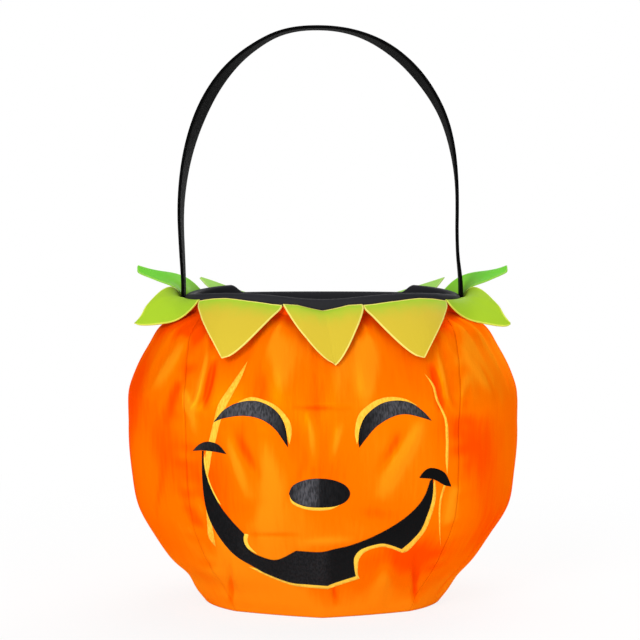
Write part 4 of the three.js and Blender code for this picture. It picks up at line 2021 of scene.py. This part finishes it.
# Painted sheen of each black shape across the face, greatest where light catches the ink, and the
# orange tone of each yellow shape.
INK_SHEEN_AND_TONE = {
    "left_eye": ((-68, 0.3), (-58, 0.6), (-47, 0.75), (-36, 0.5), (-27, 0.2), (-22, 0.03)),
    "right_eye": ((23, 0.03), (31, 0.2), (40, 0.55), (48, 0.65), (58, 0.5), (67, 0.25)),
    "nose": ((-20, 0.25), (-12, 0.75), (-4, 0.6), (-1.5, 0.08), (17, 0.03)),
    "left_dimple": ((-80, 0.2), (-60, 0.05)),
    "mouth": ((-75, 0.02), (-50, 0.07), (-30, 0.06), (-16, 0.1), (0, 0.14), (6, 0.03),
              (40, 0.01)),
    "left_eye_shine": ((0, 0.75),),
    "right_eye_shine": ((0, 0.7),),
    "nose_shine": ((0, 0.3),),
    "left_rib": ((-75, 0.7), (-46, 0.95)),
    "left_rib_foot": ((0, 0.8),),
    "right_rib": ((0, 0.5),),
    "right_rib_foot": ((0, 1.0),),
    "mouth_shine": ((24, 0.0), (45, 0.5), (71, 0.7)),
}


def shape_of(name: str, ink: Ink, *strokes: Sequence[Pair]) -> PrintShape:
    """A printed shape from the points of its strokes.

    Args:
        name: Name of the shape.
        ink: Its ink.
        strokes: Points of each stroke but for its last one, where the next stroke starts.

    Returns:
        The shape.
    """
    ends = [points[0] for points in (*strokes[1:], strokes[0])]
    return PrintShape(
        name, ink, tuple(Stroke((*points, end)) for points, end in zip(strokes, ends)))


FACE_PRINT = (
    shape_of("left_eye", Ink.BLACK,
             [(-68, 110), (-61, 118), (-51.5, 122.5), (-40, 123), (-29.5, 117.5),
              (-23.5, 108)],
             [(-21.5, 94), (-23.5, 97), (-30, 106), (-39, 112), (-50, 114), (-61.5, 112.5)]),
    shape_of("left_eye_shine", Ink.YELLOW,
             [(-56, 120), (-50, 124), (-42.5, 125.6), (-30, 121), (-21.6, 112.5),
              (-19.2, 105)],
             [(-20.5, 96), (-25, 106), (-30, 114), (-41, 121)]),
    shape_of("right_eye", Ink.BLACK,
             [(23, 94), (22.5, 98), (23.2, 105.5), (27, 114), (35.5, 121), (45, 123.5),
              (54.5, 122.3), (62.5, 117)],
             [(68, 111), (61.5, 113), (52.5, 115), (44, 113.5), (34, 107.5), (27, 99.5)]),
    shape_of("right_eye_shine", Ink.YELLOW,
             [(21.5, 96), (20.2, 104), (22.6, 114.6), (29.8, 121.6), (37, 125), (44.5, 125.8),
              (52, 124.4)],
             [(59, 120.5), (45, 121), (30, 114), (25, 104)]),
    shape_of("nose", Ink.BLACK,
             [(-21, 65), (-18.5, 70), (-11, 73.5), (-2, 74.5), (7.5, 73.3), (14.5, 70),
              (17.3, 65), (14.5, 60), (7.5, 57), (-2, 56.2), (-11, 57), (-18.5, 60.3)]),
    shape_of("nose_shine", Ink.YELLOW,
             [(-20.8, 65), (-19, 58.9), (-11, 55.2), (-2, 54.2), (6, 55.3)],
             [(12.5, 59), (6, 60), (-2, 59), (-12, 60)]),
    shape_of("left_dimple", Ink.BLACK,
             [(-81, 92), (-77, 96), (-71.5, 97.8), (-65, 95.8)],
             [(-60, 90), (-67.5, 91.5), (-75, 92.3)]),
    shape_of("right_dimple", Ink.BLACK,
             [(60.5, 75), (64, 79.5), (69, 81.2), (76.5, 78)],
             [(80.5, 69.5), (76, 70.5), (69.5, 74)]),
    shape_of("mouth", Ink.BLACK,
             [(-75.2, 92), (-75.2, 77.5), (-74.2, 64), (-72, 52.5), (-67, 41.5), (-60.5, 32),
              (-53.5, 25), (-43.5, 19), (-34.8, 14.2), (-20.5, 8.8), (-10, 7.6)],
             [(3.2, 6.6), (7, 8.3)],
             [(20.8, 12.8), (19.8, 19), (20, 24.8), (23.5, 29.3), (30, 32), (37.3, 33.5),
              (43, 32.4)],
             [(49.6, 30), (56, 35.6), (61.8, 42.5), (65.4, 51), (68.2, 59.8), (69.2, 68)],
             [(69, 74.5)],
             [(67.2, 73), (64.5, 64.7), (59.5, 57), (51.7, 49.7), (41.7, 43), (30, 37),
              (18, 32.4), (8, 30), (-1.6, 28)],
             [(-16.6, 28.8), (-24.8, 24.4), (-30, 23), (-36, 24.2), (-43.3, 27.4), (-47.6, 31.3),
              (-49.4, 35.6)],
             [(-49, 39.4), (-57, 48), (-64.2, 57.5), (-69.8, 68.5), (-73, 78), (-74.2, 85)],
             [(-74.2, 92)]),
    shape_of("mouth_shine", Ink.YELLOW,
             [(-46, 18.6), (-35, 13), (-20, 7.2), (-10, 5.6)],
             [(3.3, 4.4), (7.4, 6)],
             [(23.4, 11.2), (22.2, 14), (22.3, 19), (23, 23.5), (26, 27.5), (31, 30),
              (37.3, 31.3), (42.6, 30.4)],
             [(49.8, 27.6), (53.5, 28.8), (58.5, 34), (64.5, 41.8), (68.2, 51), (70.6, 60),
              (71, 68)],
             [(70.2, 74), (68, 66), (62, 48), (49.6, 33), (40, 36), (26, 34), (17, 24)],
             [(18, 15), (4, 9), (-10, 10), (-24, 12), (-36, 16)]),
    shape_of("tooth_shine", Ink.YELLOW,
             [(-48.8, 39.6), (-46.4, 39), (-47, 35.5), (-45.5, 31.5)],
             [(-41, 26.8), (-48, 30.5), (-50.5, 35.6)]),
    shape_of("left_rib", Ink.YELLOW,
             [(-46.5, 148.5), (-50.5, 138), (-55.8, 128), (-60.2, 119.5), (-63.8, 110),
              (-66.8, 98), (-69, 91), (-70.5, 82)],
             [(-72, 74), (-73.4, 82), (-72.8, 91), (-70.2, 101), (-68, 110), (-65, 121),
              (-59.3, 130), (-52, 140.5)]),
    shape_of("mouth_glint", Ink.YELLOW,
             [(-73.6, 90), (-72.2, 79), (-69.2, 69)],
             [(-63.6, 58), (-66.5, 61), (-71.5, 72), (-74, 84)]),
    shape_of("left_rib_foot", Ink.YELLOW,
             [(-73, 57), (-70.6, 50), (-68.6, 42)],
             [(-67, 31.5), (-71.4, 37.5), (-72.2, 46)]),
    shape_of("right_rib", Ink.YELLOW,
             [(63.5, 140.5), (69.5, 133.3), (72.3, 123.7), (77.5, 112), (78.6, 100),
              (78.5, 86)],
             [(78, 77), (77, 86), (77, 99), (76, 112), (70.8, 123.8), (68.4, 132.6)]),
    shape_of("right_rib_foot", Ink.YELLOW,
             [(77.5, 70.5), (75.2, 64), (74, 56), (73.8, 44)],
             [(74, 32), (73, 44), (72.8, 56), (73.9, 64), (76, 70.5)]),
)


@dataclass
class FacePrint:
    """The smiling face, printed on the front panel in yellow and black."""

    view: Viewpoint
    finishes: Finishes
    panels: Sequence[bpy.types.Object]
    edge_pitch: float = 0.9
    fill_pitch: float = 1.8
    closeness: float = 1e-4
    thickness: float = 0.12 * MM

    def make(self) -> None:
        """Makes every printed shape."""
        cloth = self._cloth()
        for shape in FACE_PRINT:
            self._print(shape, cloth)

    def _cloth(self) -> BVHTree:
        """The outer faces of the panels.

        Returns:
            A search tree of the faces.
        """
        points: list[Vector] = []
        faces: list[list[int]] = []
        for panel in self.panels:
            first = len(points)
            points.extend(v.co.copy() for v in panel.data.vertices)
            faces.extend([first + i for i in face.vertices] for face in panel.data.polygons)
        return BVHTree.FromPolygons(points, faces)

    def _fill(self, outline: list[Pair]) -> tuple[list[Vector], list[list[int]]]:
        """Fills an outline with small triangles.

        Args:
            outline: The closed outline on the drawing sheet.

        Returns:
            The places and the triangles.
        """
        low = np.min(outline, axis=0)
        high = np.max(outline, axis=0)
        spots = [Vector(spot) for spot in outline]
        ring = list(range(len(spots)))
        row_pitch = self.fill_pitch * math.sqrt(3) / 2
        for row in range(int((high[1] - low[1]) / row_pitch) + 1):
            shift = self.fill_pitch / 2 * (row % 2)
            for column in range(int((high[0] - low[0]) / self.fill_pitch) + 1):
                spots.append(Vector((low[0] + shift + column * self.fill_pitch,
                                     low[1] + row * row_pitch)))
        filled = geometry.delaunay_2d_cdt(spots, [], [ring], 1, self.closeness)
        return filled[0], filled[2]

    def _print(self, shape: PrintShape, cloth: BVHTree) -> None:
        """Lays one printed shape on the cloth.

        Args:
            shape: The shape.
            cloth: Search tree of the cloth's faces.
        """
        spots, faces = self._fill(shape.outline(self.edge_pitch))
        body = bmesh.new()
        corners = []
        # Each point keeps its painted sheen; on yellow ink, its orange tone.
        rubbed = body.verts.layers.float.new("rubbed")
        for spot in spots:
            place, normal, _, _ = cloth.ray_cast(self.view.eye(), self.view.ray(*spot))
            corners.append(body.verts.new(place + normal * shape.ink.value))
            corners[-1][rubbed] = shape.rubbed(spot[0])
        for face in faces:
            body.faces.new([corners[i] for i in face])
        loose = [vert for vert in body.verts if not vert.link_faces]
        bmesh.ops.delete(body, geom=loose, context="VERTS")
        bmesh.ops.recalc_face_normals(body, faces=body.faces)
        if sum(face.normal.y * face.calc_area() for face in body.faces) > 0:
            bmesh.ops.reverse_faces(body, faces=body.faces)
        piece = mesh_piece(f"print_{shape.name}", mesh_from(f"print_{shape.name}", body))
        thicken(piece, self.thickness)
        piece.data.materials.append(self.finishes.inks[shape.ink])
        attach(piece, BAG)
        LOG.info("print %s: %d triangles", shape.name, len(faces))


@dataclass
class StiffParts:
    """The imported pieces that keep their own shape: the base board and the boning strip."""

    finishes: Finishes

    def dress(self) -> None:
        """Gives them their finishes."""
        for node, material in (("base_board", self.finishes.board),
                               ("rim_stiffener", self.finishes.boning)):
            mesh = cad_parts[node].data
            mesh.materials.clear()
            mesh.materials.append(material)
            LOG.info("dressed %s", node)


@dataclass(frozen=True)
class Lamp:
    """A large square lamp, in metres and watts."""

    name: str
    place: tuple[float, float, float]
    size: float
    power: float


@dataclass
class Studio:
    """A pale floor, soft light and the camera."""

    view: Viewpoint
    lamps: tuple[Lamp, ...] = (
        Lamp("key", (-1.0, -1.9, 1.0), 0.9, 26.0),
        Lamp("fill", (1.1, -1.8, 0.25), 1.4, 12.0),
        Lamp("top", (0.1, 0.5, 1.7), 1.2, 9.0),
        Lamp("back", (0.9, 1.8, 0.9), 1.4, 18.0))
    aim: tuple[float, float, float] = (0, 0, 0.12)
    sky: float = 0.5
    white: tuple[float, float, float, float] = (1, 1, 1, 1)
    floor_size: float = 60.0
    floor_drop: float = 0.2 * MM
    floor_grey: tuple[float, float, float, float] = (0.9, 0.9, 0.9, 1)
    floor_roughness: float = 0.9
    floor_white: float = 0.84
    shadow_reach: Pair = (0.18, 0.55)

    def make(self) -> None:
        """Makes the studio."""
        self._camera()
        self._floor()
        self._world()
        for lamp in self.lamps:
            self._light(lamp)

    def _camera(self) -> None:
        """Makes the camera at the viewpoint."""
        data = bpy.data.cameras.new("camera")
        data.sensor_width = self.view.sensor
        data.lens = self.view.focal_pixels / self.view.frame_pixels * self.view.sensor
        camera = add_object("camera", data)
        camera.location = self.view.eye()
        camera.rotation_euler = (math.pi / 2 - self.view.tilt, 0, 0)
        bpy.context.scene.camera = camera

    def _floor(self) -> None:
        """Makes the floor. It looks nearly white, and keeps the bag's shadow."""
        shape = bmesh.new()
        bmesh.ops.create_grid(shape, x_segments=1, y_segments=1, size=self.floor_size / 2)
        floor = add_object("floor", mesh_from("floor", shape))
        floor.location.z = -self.floor_drop
        material, nodes, shader = new_material("floor")
        shader.inputs["Base Color"].default_value = self.floor_grey
        shader.inputs["Roughness"].default_value = self.floor_roughness
        path = nodes.add("LightPath")
        seen = nodes.maths("MAXIMUM", path.outputs["Is Camera Ray"], nodes.maths(
            "MAXIMUM", path.outputs["Is Glossy Ray"], path.outputs["Is Transmission Ray"]))
        white = nodes.add("Emission", {"Color": self.white, "Strength": 1.0})
        place = nodes.add("TexCoord").outputs["Object"]
        away = nodes.add("VectorMath", {0: place}, operation="LENGTH").outputs["Value"]
        paler = nodes.maths("MULTIPLY_ADD", nodes.band(away, *self.shadow_reach),
                            1 - self.floor_white, self.floor_white)
        share = nodes.maths("MULTIPLY", seen, paler)
        blend = nodes.add("MixShader", {0: share, 1: shader.outputs[0], 2: white.outputs[0]})
        nodes.join(blend.outputs[0], nodes.tree.nodes["Material Output"], "Surface")
        floor.data.materials.append(material)

    def _world(self) -> None:
        """Makes an even sky: white where it is seen, softer where it lights the bag."""
        world = bpy.data.worlds.new("sky")
        world.use_nodes = True
        bpy.context.scene.world = world
        nodes = Tree(world.node_tree)
        path = nodes.add("LightPath")
        seen = nodes.maths("MAXIMUM", path.outputs["Is Camera Ray"],
                           path.outputs["Is Transmission Ray"])
        strength = nodes.maths("MAXIMUM", seen, self.sky)
        back = nodes.tree.nodes["Background"]
        back.inputs["Color"].default_value = self.white
        nodes.join(strength, back, "Strength")

    def _light(self, lamp: Lamp) -> None:
        """Makes a lamp that faces the bag.

        Args:
            lamp: The lamp.
        """
        data = bpy.data.lights.new(lamp.name, "AREA")
        data.size = lamp.size
        data.energy = lamp.power
        light = add_object(lamp.name, data)
        light.location = lamp.place
        aim = Vector(self.aim) - Vector(lamp.place)
        light.rotation_euler = aim.to_track_quat("-Z", "Y").to_euler()


def main() -> None:
    """Builds the bag and its studio in order."""
    logging.basicConfig(level=logging.INFO, format="%(name)s: %(message)s")
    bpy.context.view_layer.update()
    bpy.context.scene.view_settings.view_transform = "Standard"
    view = Viewpoint()
    Studio(view).make()
    finishes = Finishes()
    drape = Drape(view=view)
    rim = drape.wall.rim
    tape = RimTape(rim, finishes)
    tape.make()
    Stitches(rim, finishes).make(tape)
    body = BagBody(drape, finishes)
    body.make()
    Lining(drape, finishes).make()
    LeafCollar(rim, finishes).make()
    CarryStrap(rim, finishes).make()
    FacePrint(view, finishes, list(body.panels.values())).make()
    StiffParts(finishes).dress()


if __name__ == "__main__":
    main()
